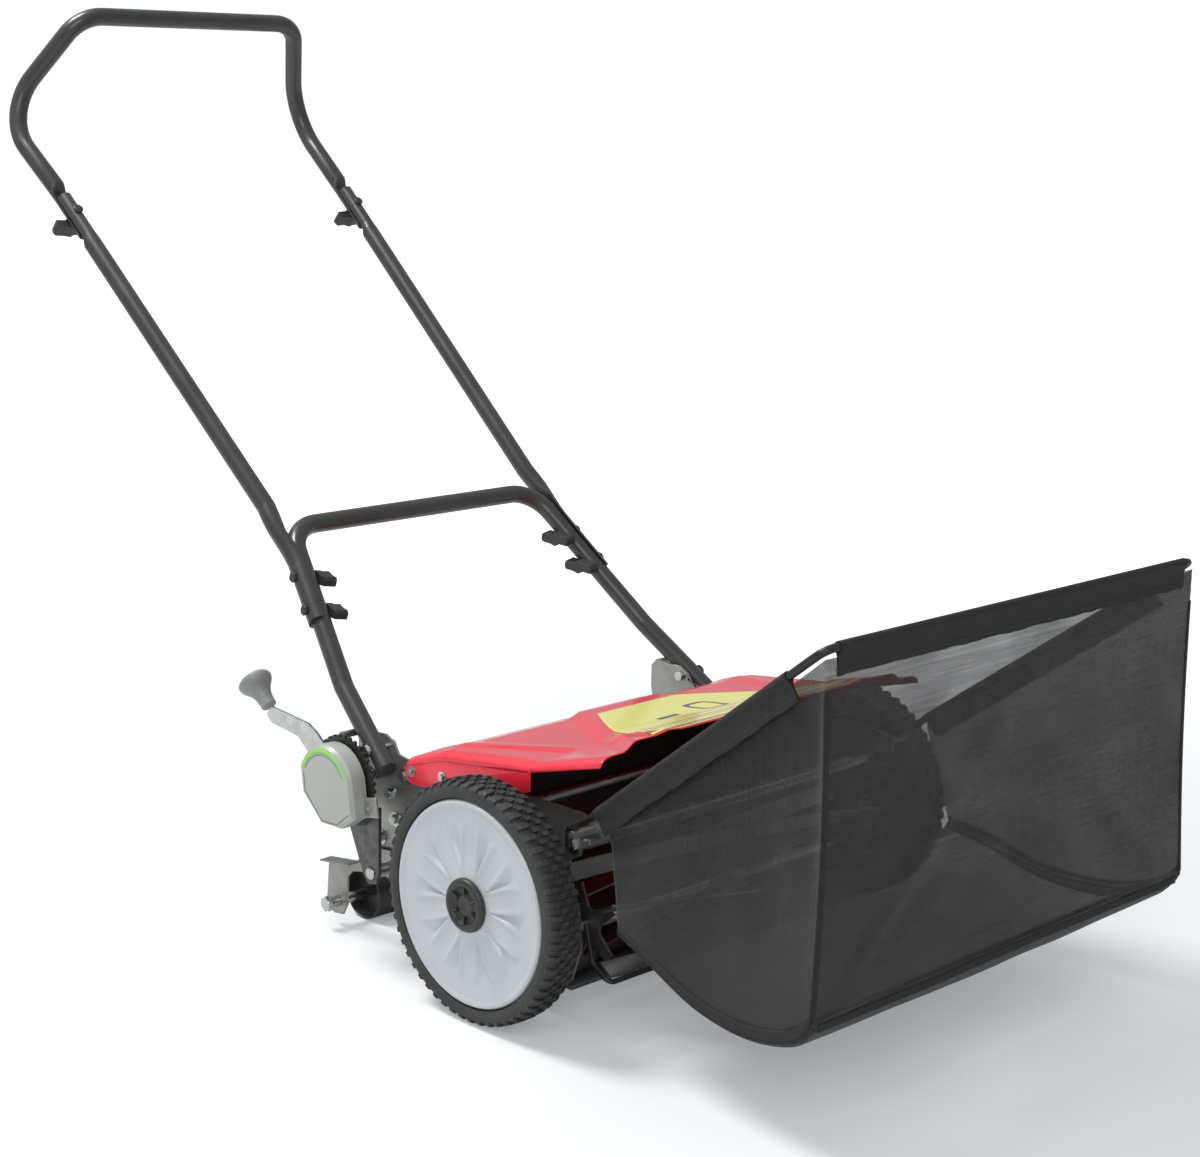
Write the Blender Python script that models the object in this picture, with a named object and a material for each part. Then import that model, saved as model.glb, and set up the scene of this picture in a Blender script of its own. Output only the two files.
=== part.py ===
"""Push reel mower with two drive wheels, a rear roller and a front grass catcher.

Metres, +Z up. It mows towards -Y, and its right side is -X. Lengths are given
in the machine's own frame, whose Y is 0 at the wheel axle. The root empty
moves all of it back, so that the origin is under the middle of the mower.
"""

import math

import bmesh
import bpy
from mathutils import Matrix, Vector

# Driving dimensions
MIDDLE_Y = 0.2675  # the middle of the overall length, behind the wheel axle
GAP = 0.0003
WHEEL_R = 0.127
TYRE_IN, TYRE_OUT = 0.270, 0.312
REEL_Y, REEL_Z = -0.0578, 0.095
REEL_R = 0.065
REEL_HALF = 0.216
BLADES = 5
RING_TEETH, PINION_TEETH, MODULE = 50, 10, 0.0033
PLATE_IN, PLATE_OUT = 0.2285, 0.2315
ROLLER_Y, ROLLER_Z, ROLLER_R, ROLLER_HALF = 0.302, 0.030, 0.030, 0.202
ARM_Y, ARM_Z = 0.204, 0.096
LEVER_Y, LEVER_Z = 0.245, 0.190
SECTOR_TEETH, LEVER_TEETH, HEIGHT_MODULE = 67, 24, 0.00225
TILT_Y, TILT_Z = 0.222, 0.2275
TUBE_R, TUBE_WALL, TUBE_SIDES = 0.011, 0.0014, 8
LOWER_END = Vector((0.2525, 0.1986, 0.2106))
LOWER_KINK = Vector((0.235, 0.293, 0.279))
LOWER_CORNER = Vector((0.189, 0.451, 0.428))
MID_BEND = Vector((0.202, 0.477, 0.449))
JOINT = Vector((0.218, 0.8605, 0.776))
TOP_BEND = Vector((0.226, 0.988, 0.877))
TOP_CORNER = Vector((0.163, 0.902, 1.000))
RIM_BACK = Vector((0.2575, -0.112, 0.2301))
RIM_CORNER = Vector((0.291, -0.433, 0.4703))
RIM_R = 0.004
SKIRT, SHEET, DECK_REAR = 0.2500, 0.0014, 0.171
DECK_BOLTS = [(0.160, 0.217), (0.110, 0.222)]
RIM_STUD = (-0.0985, 0.2140)
HANDLE_STUD = (0.2632, 0.2360)

BLACK = (0.018, 0.019, 0.018)
for old in list(bpy.data.objects):
    bpy.data.objects.remove(old)
root = bpy.data.objects.new("mower", None)
root.location = (0, -MIDDLE_Y, 0)
bpy.context.scene.collection.objects.link(root)


def add(name, mesh, colour, roughness=0.5, metallic=0.0, pivot=(0, 0, 0), flip=False):
    """Turn a bmesh drawn in the machine's frame into an object whose origin is its pivot."""
    if flip:
        mesh.transform(Matrix.Diagonal((-1, 1, 1, 1)))
        pivot = (-pivot[0], pivot[1], pivot[2])
    mesh.transform(Matrix.Translation(-Vector(pivot)))
    bmesh.ops.remove_doubles(mesh, verts=mesh.verts, dist=1e-6)
    bmesh.ops.recalc_face_normals(mesh, faces=mesh.faces)
    data = bpy.data.meshes.new(name)
    mesh.to_mesh(data)
    mesh.free()
    data.shade_smooth()
    data.set_sharp_from_angle(angle=math.radians(35))
    paint = bpy.data.materials.new(name + "_paint")
    paint.use_nodes = True
    shader = paint.node_tree.nodes["Principled BSDF"]
    shader.inputs["Base Color"].default_value = (*colour, 1)
    shader.inputs["Roughness"].default_value = roughness
    shader.inputs["Metallic"].default_value = metallic
    data.materials.append(paint)
    made = bpy.data.objects.new(name, data)
    made.location = pivot
    made.parent = root
    bpy.context.scene.collection.objects.link(made)
    return made


def lathe(profile, steps=24, centre=(0, 0)):
    """Turn a closed outline of (x, radius) points about a line along X through centre (y, z)."""
    mesh = bmesh.new()
    points = [mesh.verts.new((x, centre[0], centre[1] - r)) for x, r in profile]
    edges = [mesh.edges.new((points[i - 1], points[i])) for i in range(len(points))]
    bmesh.ops.spin(mesh, geom=points + edges, cent=(0, *centre), axis=(1, 0, 0), angle=math.tau,
                   steps=steps, use_merge=True)
    bmesh.ops.remove_doubles(mesh, verts=mesh.verts, dist=1e-6)
    bmesh.ops.dissolve_degenerate(mesh, edges=mesh.edges, dist=1e-6)
    loose = [edge for edge in mesh.edges if not edge.link_faces]
    bmesh.ops.delete(mesh, geom=loose, context="EDGES")
    return mesh


def plate(loops, x_from, x_to):
    """Extrude closed (y, z) outlines along X. The first is the edge, the others are holes."""
    mesh = bmesh.new()
    edges = []
    for loop in loops:
        verts = [mesh.verts.new((x_from, y, z)) for y, z in loop]
        edges += [mesh.edges.new((verts[i - 1], verts[i])) for i in range(len(verts))]
    filled = bmesh.ops.triangle_fill(mesh, use_beauty=True, use_dissolve=False, edges=edges)
    faces = [item for item in filled["geom"] if isinstance(item, bmesh.types.BMFace)]
    moved = bmesh.ops.extrude_face_region(mesh, geom=faces, use_keep_orig=True)
    tops = [item for item in moved["geom"] if isinstance(item, bmesh.types.BMVert)]
    bmesh.ops.translate(mesh, verts=tops, vec=(x_to - x_from, 0, 0))
    return mesh


def circle(y, z, radius, sides=12):
    turns = [math.tau * (i + 0.5) / sides for i in range(sides)]
    return [(y + radius * math.cos(a), z + radius * math.sin(a)) for a in turns]


def gear(y, z, teeth, tip, root_r, toward, first=0, count=None, width=0.30):
    """Points of trapezoid teeth about (y, z). The tooth numbered 0 points at the angle toward."""
    step = math.tau / teeth
    points = []
    for tooth in range(first, first + (count or teeth)):
        middle = toward + tooth * step
        for turn, radius in ((-width, root_r), (-width / 2.1, tip), (width / 2.1, tip), (width, root_r)):
            angle = middle + turn * step
            points.append((y + radius * math.cos(angle), z + radius * math.sin(angle)))
    return points


def rounded(corners, steps=6):
    """Points along a run of (point, radius) corners, with an arc at each corner that has one."""
    points = []
    for i, (corner, radius) in enumerate(corners):
        if radius == 0:
            points.append(corner.copy())
            continue
        back = (corners[i - 1][0] - corner).normalized()
        ahead = (corners[i + 1][0] - corner).normalized()
        half = back.angle(ahead) / 2
        centre = corner + (back + ahead).normalized() * radius / math.sin(half)
        start = corner + back * radius / math.tan(half) - centre
        turn = math.pi - 2 * half
        axis = back.cross(start).normalized()
        for k in range(steps + 1):
            points.append(centre + Matrix.Rotation(turn * k / steps, 3, axis) @ start)
    return points


def frames(points, up):
    """A tangent and two normals at each point. The first normal starts along up and never twists."""
    found = []
    normal = Vector(up)
    for i, point in enumerate(points):
        tangent = (points[min(i + 1, len(points) - 1)] - points[max(i - 1, 0)]).normalized()
        normal = (normal - tangent * normal.dot(tangent)).normalized()
        found.append((tangent, normal.copy(), tangent.cross(normal)))
    return found


def ring_of(radius, half, squash, shape):
    """A tube's section: a circle that turns into a crescent, given its setback, radius and spread."""
    setback, bend, spread = shape
    section = []
    for i in range(TUBE_SIDES):
        a = math.tau * i / TUBE_SIDES
        span = spread if radius == TUBE_R else spread * 0.92
        fold = math.asin(math.sin(a)) * span / (math.pi / 2)
        reach = bend + half * math.cos(a)
        round_point = Vector((radius * math.cos(a), radius * math.sin(a)))
        crescent = Vector((reach * math.cos(fold) - setback, reach * math.sin(fold)))
        section.append(round_point.lerp(crescent, squash))
    return section


def tube(points, up, squash):
    """A hollow tube along points, open at both ends, and squashed to a half shell where squash is 1."""
    mesh = bmesh.new()
    sections = []
    for point, (_, normal, side), amount in zip(points, frames(points, up), squash):
        loops = []
        for radius, half in ((TUBE_R, 0.0020), (TUBE_R - TUBE_WALL, 0.0007)):
            section = ring_of(radius, half, amount, HALF_SHELL)
            loops.append([mesh.verts.new(point + normal * u + side * v) for u, v in section])
        sections.append(loops)
    skin(mesh, [outer for outer, _ in sections])
    skin(mesh, [inner for _, inner in sections])
    for outer, inner in (sections[0], sections[-1]):
        skin(mesh, [outer, inner])
    return mesh


def skin(mesh, rings):
    """Quads between each ring of points and the next."""
    for ring, following in zip(rings, rings[1:]):
        for i in range(len(ring)):
            mesh.faces.new((ring[i - 1], ring[i], following[i], following[i - 1]))


def rod(points, radius, sides=8, up=(0, 0, 1)):
    """A solid rod along points, with flat ends."""
    mesh = bmesh.new()
    turns = [math.tau * (i + 0.5) / sides for i in range(sides)]
    rings = []
    for point, (_, normal, side) in zip(points, frames(points, up)):
        rings.append([mesh.verts.new(point + radius * (math.cos(a) * normal + math.sin(a) * side))
                      for a in turns])
    skin(mesh, rings)
    mesh.faces.new(rings[0])
    mesh.faces.new(rings[-1])
    return mesh


def aim(mesh, place, axis):
    """Move a mesh drawn along +X from the origin so that it starts at place and runs along axis."""
    turn = Vector(axis).to_track_quat("X", "Z").to_matrix().to_4x4()
    mesh.transform(Matrix.Translation(place) @ turn)
    return mesh


def join(meshes):
    """One bmesh that holds several separate solids."""
    whole = bmesh.new()
    for mesh in meshes:
        data = bpy.data.meshes.new("joined")
        mesh.to_mesh(data)
        mesh.free()
        whole.from_mesh(data)
        bpy.data.meshes.remove(data)
    return whole


def mirror(mesh):
    mesh.transform(Matrix.Diagonal((-1, 1, 1, 1)))
    return mesh


def combine(target, mesh, operation):
    """Cut closed meshes, drawn in the machine's frame, out of an object, or unite them with it."""
    helper = add(f"{target.name}_{operation.lower()}", mesh, BLACK)
    helper.hide_render = True
    helper.display_type = "WIRE"
    change = target.modifiers.new(operation.lower(), "BOOLEAN")
    change.operation = operation
    change.object = helper


# Chassis

def side_plates():
    """The steel sides. The catcher hooks over a stud at the front of each, and the handle rests on a rear one."""
    edge = [(-0.083, 0.085), (-0.070, 0.047), (-0.056, 0.036), (0.040, 0.040), (0.150, 0.070),
            (0.230, 0.078), (0.270, 0.096), (0.276, 0.128), (0.262, 0.160), (0.272, 0.205),
            (0.272, 0.232), (0.262, 0.2405), (0.240, 0.2385), (0.226, 0.2395), (0.212, 0.2325),
            (0.204, 0.2215), (0.186, 0.2190), (0.150, 0.2240), (-0.080, 0.2260), (-0.108, 0.2215),
            (-0.108, 0.2050), (-0.081, 0.1990), (-0.079, 0.1810), (-0.064, 0.1720), (-0.064, 0.1500),
            (-0.078, 0.1200)]
    holes = [circle(0, WHEEL_R, 0.0088), circle(REEL_Y, REEL_Z, 0.0074), circle(ARM_Y, ARM_Z, 0.0074),
             circle(LEVER_Y, LEVER_Z, 0.0064), circle(TILT_Y, TILT_Z, 0.0034, 8)]
    stud = [(PLATE_IN + 0.001, 0), (PLATE_IN + 0.001, 0.0042), (0.2622, 0.0042), (0.2622, 0)]
    for side, flip in (("right", True), ("left", False)):
        made = add("side_plate_" + side, plate([edge, *holes], PLATE_IN, PLATE_OUT), (0.20, 0.19, 0.18),
                   0.4, 0.8, flip=flip)
        studs = join([lathe(stud, 10, place) for place in (RIM_STUD, HANDLE_STUD)])
        combine(made, mirror(studs) if flip else studs, "UNION")


def tie_rods():
    """Two round rods between the plates that hold them apart."""
    half = PLATE_IN - GAP
    profile = [(-half, 0), (-half, 0.008), (half, 0.008), (half, 0)]
    for name, place in (("tie_rod_front", (-0.070, 0.190)), ("tie_rod_rear", (0.150, 0.150))):
        add(name, lathe(profile, 12, place), (0.30, 0.30, 0.30), 0.35, 1.0)


def bed_knife():
    """The fixed blade under the reel, and the bar of angle steel that carries it."""
    half = PLATE_IN - GAP
    bar = [(-0.030, 0.0300), (0.006, 0.0300), (0.006, 0.0600), (0.002, 0.0600), (0.002, 0.0340),
           (-0.030, 0.0340)]
    add("bed_knife_bar", plate([bar], -half, half), (0.22, 0.03, 0.04), 0.5, 0.1)
    knife = [(-0.0545, 0.0262), (-0.010, 0.0262), (-0.010, 0.0297), (-0.0525, 0.0297)]
    add("bed_knife", plate([knife], -0.216, 0.216), (0.42, 0.43, 0.44), 0.35, 1.0)


def deck_height(x, y):
    """Height of the deflector's top: a rounded rear, a slope and a steeper front, with a raised fan."""
    if y > 0.115:
        slope = 0.249 - 0.36 * (y - 0.115)
    elif y > -0.020:
        slope = 0.249 + 0.133 * (0.115 - y)
    else:
        slope = 0.267 + 0.277 * (-0.020 - y)
    fan = 0.045 + 0.65 * (0.115 - y)
    fade = min(max((0.150 - y) / 0.050, 0), 1)
    slope -= 0.007 * max(abs(x) - 0.241, 0) / (SKIRT - 0.241)
    return slope + 0.009 * fade * min(max((fan + 0.020 - abs(x)) / 0.020, 0), 1)


def scroll():
    """The outline of the sheet that turns down behind the reel, from the top to the knife's bar."""
    outside = [Vector(point) for point in (
        (0.1690, 0.2292), (0.1745, 0.2250), (0.1757, 0.2100), (0.1725, 0.1850), (0.1665, 0.1600), (0.1560, 0.1330),
        (0.1350, 0.1080), (0.1000, 0.0860), (0.0600, 0.0705), (0.0120, 0.0630))]
    inside = []
    for i, point in enumerate(outside):
        ahead = (outside[min(i + 1, len(outside) - 1)] - outside[max(i - 1, 0)]).normalized()
        inside.append(point + Vector((ahead.y, -ahead.x)) * SHEET)
    return [tuple(point) for point in outside + inside[::-1]]


def deflector():
    """The pressed red cover over the reel: a creased top, a skirt on each side and a scroll behind."""
    columns = [-SKIRT, -0.241, -0.225, -0.200, -0.175, -0.150, -0.125, -0.100, -0.070, -0.040, 0, 0.040, 0.070,
               0.100, 0.125, 0.150, 0.175, 0.200, 0.225, 0.241, SKIRT]
    rows = [DECK_REAR, 0.145, 0.115, 0.090, 0.050, 0.015, -0.020, -0.055, -0.090, -0.123]
    mesh = bmesh.new()
    levels = []
    for drop in (0, SHEET):
        levels.append([[mesh.verts.new((x, y, deck_height(x, y) - drop)) for x in columns] for y in rows])
    for grid in levels:
        for a, b in zip(grid, grid[1:]):
            for i in range(len(columns) - 1):
                mesh.faces.new((a[i], a[i + 1], b[i + 1], b[i]))
    top, under = levels
    rims = [(top[0], under[0]), (top[-1], under[-1]),
            ([row[0] for row in top], [row[0] for row in under]),
            ([row[-1] for row in top], [row[-1] for row in under])]
    for a, b in rims:
        for i in range(len(a) - 1):
            mesh.faces.new((a[i], a[i + 1], b[i + 1], b[i]))
    made = add("deflector", mesh, (0.72, 0.015, 0.03), 0.3)
    skirt = [(y, deck_height(SKIRT, y) - 0.0005) for y in (0.170, 0.145, 0.115, 0.050, 0.015, -0.019)]
    skirt += [(-0.024, 0.262), (-0.024, 0.238), (0.030, 0.218), (0.080, 0.208), (0.156, 0.203),
              (0.168, 0.208), (0.172, 0.220)]
    combine(made, plate([scroll()], -PLATE_IN + 0.0005, PLATE_IN - 0.0005), "UNION")
    for side in (-1, 1):
        wall = plate([skirt], SKIRT - SHEET, SKIRT)
        combine(made, mirror(wall) if side < 0 else wall, "UNION")
        for y, z in DECK_BOLTS:
            boss = lathe([(0.2318, 0), (0.2318, 0.0055), (0.2495, 0.0055), (0.2495, 0)], 8, (y, z))
            combine(made, mirror(boss) if side < 0 else boss, "UNION")


def bolt(head_r, head, shank_r, length, nut=0.0, nut_r=0.0, sides=12):
    """A bolt drawn along +X: its head is before 0 and its shank after it, with a nut if nut is set."""
    profile = [(-head, 0), (-head, head_r * 0.8), (-head * 0.6, head_r), (0, head_r), (0, shank_r)]
    if nut:
        profile += [(length - nut, shank_r), (length - nut, nut_r), (length, nut_r), (length, 0)]
    else:
        profile += [(length, shank_r), (length, 0)]
    return lathe(profile, sides)


def axles():
    """Each wheel's fixed axle: a nut inside the plate, a shoulder outside it and a nut on its end."""
    profile = [(0.2205, 0), (0.2205, 0.013), (0.2282, 0.013), (0.2282, 0.0085), (0.2318, 0.0085),
               (0.2318, 0.0140), (0.2615, 0.0140), (0.2615, 0.0085), (0.3040, 0.0085),
               (0.3040, 0.0112), (0.3095, 0.0112), (0.3095, 0)]
    for side, flip in (("right", True), ("left", False)):
        add("axle_" + side, lathe(profile, 12, (0, WHEEL_R)), (0.5, 0.5, 0.5), 0.3, 1.0, flip=flip)


def gear_covers():
    """A disc on each axle that closes the open side of the wheel over the gears."""
    angle = math.atan2(REEL_Z - WHEEL_R, REEL_Y)
    reach = math.hypot(REEL_Z - WHEEL_R, REEL_Y)
    hole = circle(reach * math.cos(angle), WHEEL_R + reach * math.sin(angle), 0.0195)
    for side, flip in (("right", True), ("left", False)):
        outline = [circle(0, WHEEL_R, 0.100, 30), circle(0, WHEEL_R, 0.0088), hole]
        add("gear_cover_" + side, plate(outline, 0.2618, 0.2638), BLACK, 0.45, flip=flip)


def bearings():
    """The housings outside the plates in which the reel's shaft turns."""
    profile = [(0.2318, 0.0074), (0.2318, 0.0185), (0.2400, 0.0185), (0.2520, 0.0150), (0.2520, 0.0074)]
    for side, flip in (("right", True), ("left", False)):
        add("reel_bearing_" + side, lathe(profile, 16, (REEL_Y, REEL_Z)), (0.25, 0.25, 0.25), 0.5, 0.6,
            flip=flip)


def catcher_support():
    """The bent wire in front of the bed knife. Its upturned ends hold the bag's rear edge."""
    half = [(Vector((0.2252, -0.0830, 0.1090)), 0), (Vector((0.2252, -0.0940, 0.0690)), 0.008),
            (Vector((0.2252, -0.1180, 0.0560)), 0.008)]
    far = [(Vector((-p.x, p.y, p.z)), r) for p, r in reversed(half)]
    add("catcher_support", rod(rounded([*half, *far], 3), 0.0028, 6, up=(0, 1, 0)), BLACK, 0.4, 0.5)


# Wheels

def wheel(side, flip):
    """A tyre on a drum with moulded inner teeth, closed by a grey disc and a hub cap."""
    centre = (0, WHEEL_R)
    pivot = (0.291, 0, WHEEL_R)
    tyre = [(0.2725, 0.1085), (TYRE_IN, 0.116), (0.274, 0.1238), (0.282, WHEEL_R), (0.300, WHEEL_R),
            (0.308, 0.1238), (TYRE_OUT, 0.116), (0.3100, 0.1085)]
    add("tyre_" + side, lathe(tyre, 32, centre), (0.022, 0.024, 0.023), 0.85, pivot=pivot, flip=flip)
    drum = [(0.2725, 0.1082), (0.3035, 0.1082), (0.3035, 0.0088), (0.276, 0.0088), (0.276, 0.022),
            (0.3005, 0.022), (0.3005, 0.1045), (0.2725, 0.1045)]
    body = add("rim_" + side, lathe(drum, 32, centre), BLACK, 0.5, pivot=pivot, flip=flip)
    toward = math.atan2(REEL_Z - WHEEL_R, REEL_Y)
    pitch = RING_TEETH * MODULE / 2
    inner = gear(*centre, RING_TEETH, pitch - 0.7 * MODULE, pitch + MODULE,
                 toward + math.pi / RING_TEETH, width=0.27)
    ring = plate([circle(*centre, 0.1058, RING_TEETH), inner], 0.2740, 0.2860)
    combine(body, mirror(ring) if flip else ring, "UNION")
    disc = [(0.3040, 0.1078), (0.3105, 0.1070), (TYRE_OUT, 0.1035), (0.3090, 0.0985), (0.3100, 0.045),
            (0.3104, 0.030), (0.3104, 0.0122), (0.3078, 0.0122), (0.3078, 0.030), (0.3070, 0.045),
            (0.3060, 0.0985), (0.3040, 0.1040)]
    add("hub_cover_" + side, lathe(disc, 32, centre), (0.50, 0.53, 0.56), 0.4, pivot=pivot, flip=flip)
    cap = [(0.3108, 0), (0.3108, 0.028), (0.3160, 0.0268), (0.3175, 0.0225), (0.3150, 0.0185),
           (0.3135, 0.0120), (0.3140, 0)]
    add("hub_cap_" + side, lathe(cap, 20, centre), BLACK, 0.4, pivot=pivot, flip=flip)


# Cutting reel

REEL_PIVOT = (0, REEL_Y, REEL_Z)
TWIST = math.radians(62)


def reel_shaft():
    profile = [(-0.2870, 0), (-0.2870, 0.007), (0.2870, 0.007), (0.2870, 0)]
    add("reel_shaft", lathe(profile, 12, (REEL_Y, REEL_Z)), (0.4, 0.4, 0.4), 0.35, 1.0, pivot=REEL_PIVOT)


def reel_blades():
    """Steel bars wound about the shaft."""
    steps = 12
    for blade in range(BLADES):
        mesh = bmesh.new()
        rings = []
        for i in range(steps + 1):
            x = REEL_HALF * (2 * i / steps - 1)
            angle = math.tau * blade / BLADES + TWIST * i / steps
            out = Vector((0, math.cos(angle), math.sin(angle)))
            across = Vector((0, -math.sin(angle), math.cos(angle)))
            centre = Vector((x, REEL_Y, REEL_Z))
            corners = ((0.0460, -0.0014), (REEL_R, -0.0014), (REEL_R, 0.0014), (0.0460, 0.0014))
            rings.append([mesh.verts.new(centre + out * r + across * t) for r, t in corners])
        skin(mesh, rings)
        mesh.faces.new(rings[0])
        mesh.faces.new(rings[-1])
        add(f"reel_blade_{blade + 1}", mesh, (0.40, 0.41, 0.42), 0.35, 1.0, pivot=REEL_PIVOT)


def reel_spiders():
    """Three stamped stars on the shaft, one arm to each blade."""
    for word, x in (("right", -0.200), ("middle", 0), ("left", 0.200)):
        turn = TWIST * (x / REEL_HALF + 1) / 2
        outline = []
        for arm in range(BLADES):
            angle = turn + math.tau * arm / BLADES
            for shift, radius in ((-0.13, 0.0445), (0.13, 0.0445), (0.45, 0.020), (0.80, 0.020)):
                outline.append((REEL_Y + radius * math.cos(angle + shift),
                                REEL_Z + radius * math.sin(angle + shift)))
        mesh = plate([outline, circle(REEL_Y, REEL_Z, 0.0074, 10)], x - 0.0015, x + 0.0015)
        add("reel_spider_" + word, mesh, (0.3, 0.3, 0.3), 0.4, 0.9, pivot=REEL_PIVOT)


def pinion(side, flip):
    """The small gear on the end of the reel's shaft that the ring gear drives."""
    toward = math.atan2(REEL_Z - WHEEL_R, REEL_Y)
    pitch = PINION_TEETH * MODULE / 2
    teeth = gear(REEL_Y, REEL_Z, PINION_TEETH, pitch + 0.7 * MODULE, pitch - MODULE, toward, width=0.27)
    mesh = plate([teeth, circle(REEL_Y, REEL_Z, 0.0074, 10)], 0.2725, 0.2850)
    add("pinion_" + side, mesh, (0.35, 0.35, 0.35), 0.4, 0.9, pivot=(0.279, REEL_Y, REEL_Z), flip=flip)


# Roller and height adjustment

def roller():
    """A moulded tube with a recessed bearing wall at each end, which turns on a fixed rod."""
    pivot = (0, ROLLER_Y, ROLLER_Z)
    inside = ROLLER_R - 0.003
    half = [(0.180, inside), (0.180, 0.0064), (0.186, 0.0064), (0.186, inside),
            (ROLLER_HALF, inside), (ROLLER_HALF, ROLLER_R)]
    profile = half + [(-x, r) for x, r in reversed(half)]
    add("roller", lathe(profile, 20, (ROLLER_Y, ROLLER_Z)), BLACK, 0.5, pivot=pivot)


def roller_frame():
    """The arms, their cross shaft and the axle that carry the roller."""
    pivot = (0, ARM_Y, ARM_Z)
    steel = dict(roughness=0.35, metallic=1.0)
    zinc = (0.60, 0.61, 0.60)
    profile = [(-0.2720, 0), (-0.2720, 0.007), (0.2420, 0.007), (0.2420, 0)]
    add("arm_shaft", lathe(profile, 12, (ARM_Y, ARM_Z)), (0.4, 0.4, 0.4), pivot=pivot, **steel)
    end = 0.2510
    profile = [(-end - 0.005, 0), (-end - 0.005, 0.009), (-end, 0.009), (-end, 0.006),
               (end, 0.006), (end, 0.009), (end + 0.005, 0.009), (end + 0.005, 0)]
    add("roller_axle", lathe(profile, 12, (ROLLER_Y, ROLLER_Z)), (0.5, 0.5, 0.5), pivot=pivot, **steel)
    edge = [(0.190, 0.092), (0.193, 0.108), (0.204, 0.1125), (0.246, 0.1085), (0.268, 0.0855),
            (0.318, 0.078), (0.322, 0.028), (0.310, 0.014), (0.294, 0.016), (0.286, 0.030), (0.2855, 0.062),
            (0.276, 0.0715), (0.240, 0.080), (0.212, 0.083)]
    holes = [circle(ARM_Y, ARM_Z, 0.0074), circle(ROLLER_Y, ROLLER_Z, 0.0064)]
    flange = [(0.268, 0.0853), (0.318, 0.0778), (0.318, 0.0758), (0.268, 0.0833)]
    for side, flip in (("right", True), ("left", False)):
        arm = add("roller_arm_" + side, plate([edge, *holes], 0.2345, 0.2370), zinc, pivot=pivot,
                  flip=flip, **steel)
        lip = plate([flange], 0.2360, 0.2500)
        combine(arm, mirror(lip) if flip else lip, "UNION")


def sector():
    """The toothed arm on the shaft's right end, which the lever's pinion drives."""
    toward = math.atan2(LEVER_Z - ARM_Z, LEVER_Y - ARM_Y)
    pitch = SECTOR_TEETH * HEIGHT_MODULE / 2
    teeth = gear(ARM_Y, ARM_Z, SECTOR_TEETH, pitch + 0.7 * HEIGHT_MODULE, pitch - HEIGHT_MODULE, toward,
                 first=-2, count=9, width=0.27)
    outline = teeth + [(ARM_Y - 0.013, ARM_Z + 0.004), (ARM_Y - 0.009, ARM_Z - 0.010),
                       (ARM_Y + 0.004, ARM_Z - 0.013), (ARM_Y + 0.013, ARM_Z - 0.004)]
    mesh = plate([outline, circle(ARM_Y, ARM_Z, 0.0074)], 0.2650, 0.2695)
    add("height_sector", mesh, (0.35, 0.35, 0.35), 0.4, 0.9, pivot=(0, ARM_Y, ARM_Z), flip=True)


def lever():
    """The zinc strap with its boss, its pinion and its flared grip."""
    pivot = (0.276, LEVER_Y, LEVER_Z)
    strap = [(0.2525, 0.1800), (0.3060, 0.2140), (0.3200, 0.2250), (0.3690, 0.2305), (0.3770, 0.2380),
             (0.3690, 0.2490), (0.3030, 0.2437), (0.2880, 0.2365), (0.2360, 0.1985), (0.2330, 0.1880),
             (0.2400, 0.1790)]
    bore = circle(LEVER_Y, LEVER_Z, 0.0064)
    mesh = plate([strap, bore], 0.2747, 0.2777)
    made = add("height_lever", mesh, (0.62, 0.64, 0.64), 0.3, 1.0, pivot=pivot, flip=True)
    boss = lathe([(0.2645, 0.0064), (0.2645, 0.0096), (0.2760, 0.0096), (0.2760, 0.0064)], 12,
                 (LEVER_Y, LEVER_Z))
    combine(made, mirror(boss), "UNION")
    toward = math.atan2(ARM_Z - LEVER_Z, ARM_Y - LEVER_Y)
    pitch = LEVER_TEETH * HEIGHT_MODULE / 2
    teeth = gear(LEVER_Y, LEVER_Z, LEVER_TEETH, pitch + 0.7 * HEIGHT_MODULE, pitch - HEIGHT_MODULE,
                 toward + math.pi / LEVER_TEETH, width=0.27)
    mesh = plate([teeth, circle(LEVER_Y, LEVER_Z, 0.0100)], 0.2650, 0.2695)
    add("lever_pinion", mesh, (0.35, 0.35, 0.35), 0.4, 0.9, pivot=pivot, flip=True)
    grip = [(0, 0), (0, 0.0088), (0.012, 0.0096), (0.022, 0.0130), (0.030, 0.0188), (0.035, 0.0198),
            (0.040, 0.0160), (0.042, 0)]
    mesh = aim(lathe(grip, 14), (-0.2762, 0.3740, 0.2480), (0, 0.76, 0.65))
    add("lever_knob", mesh, (0.21, 0.21, 0.20), 0.35, pivot=(-0.276, LEVER_Y, LEVER_Z))


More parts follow.
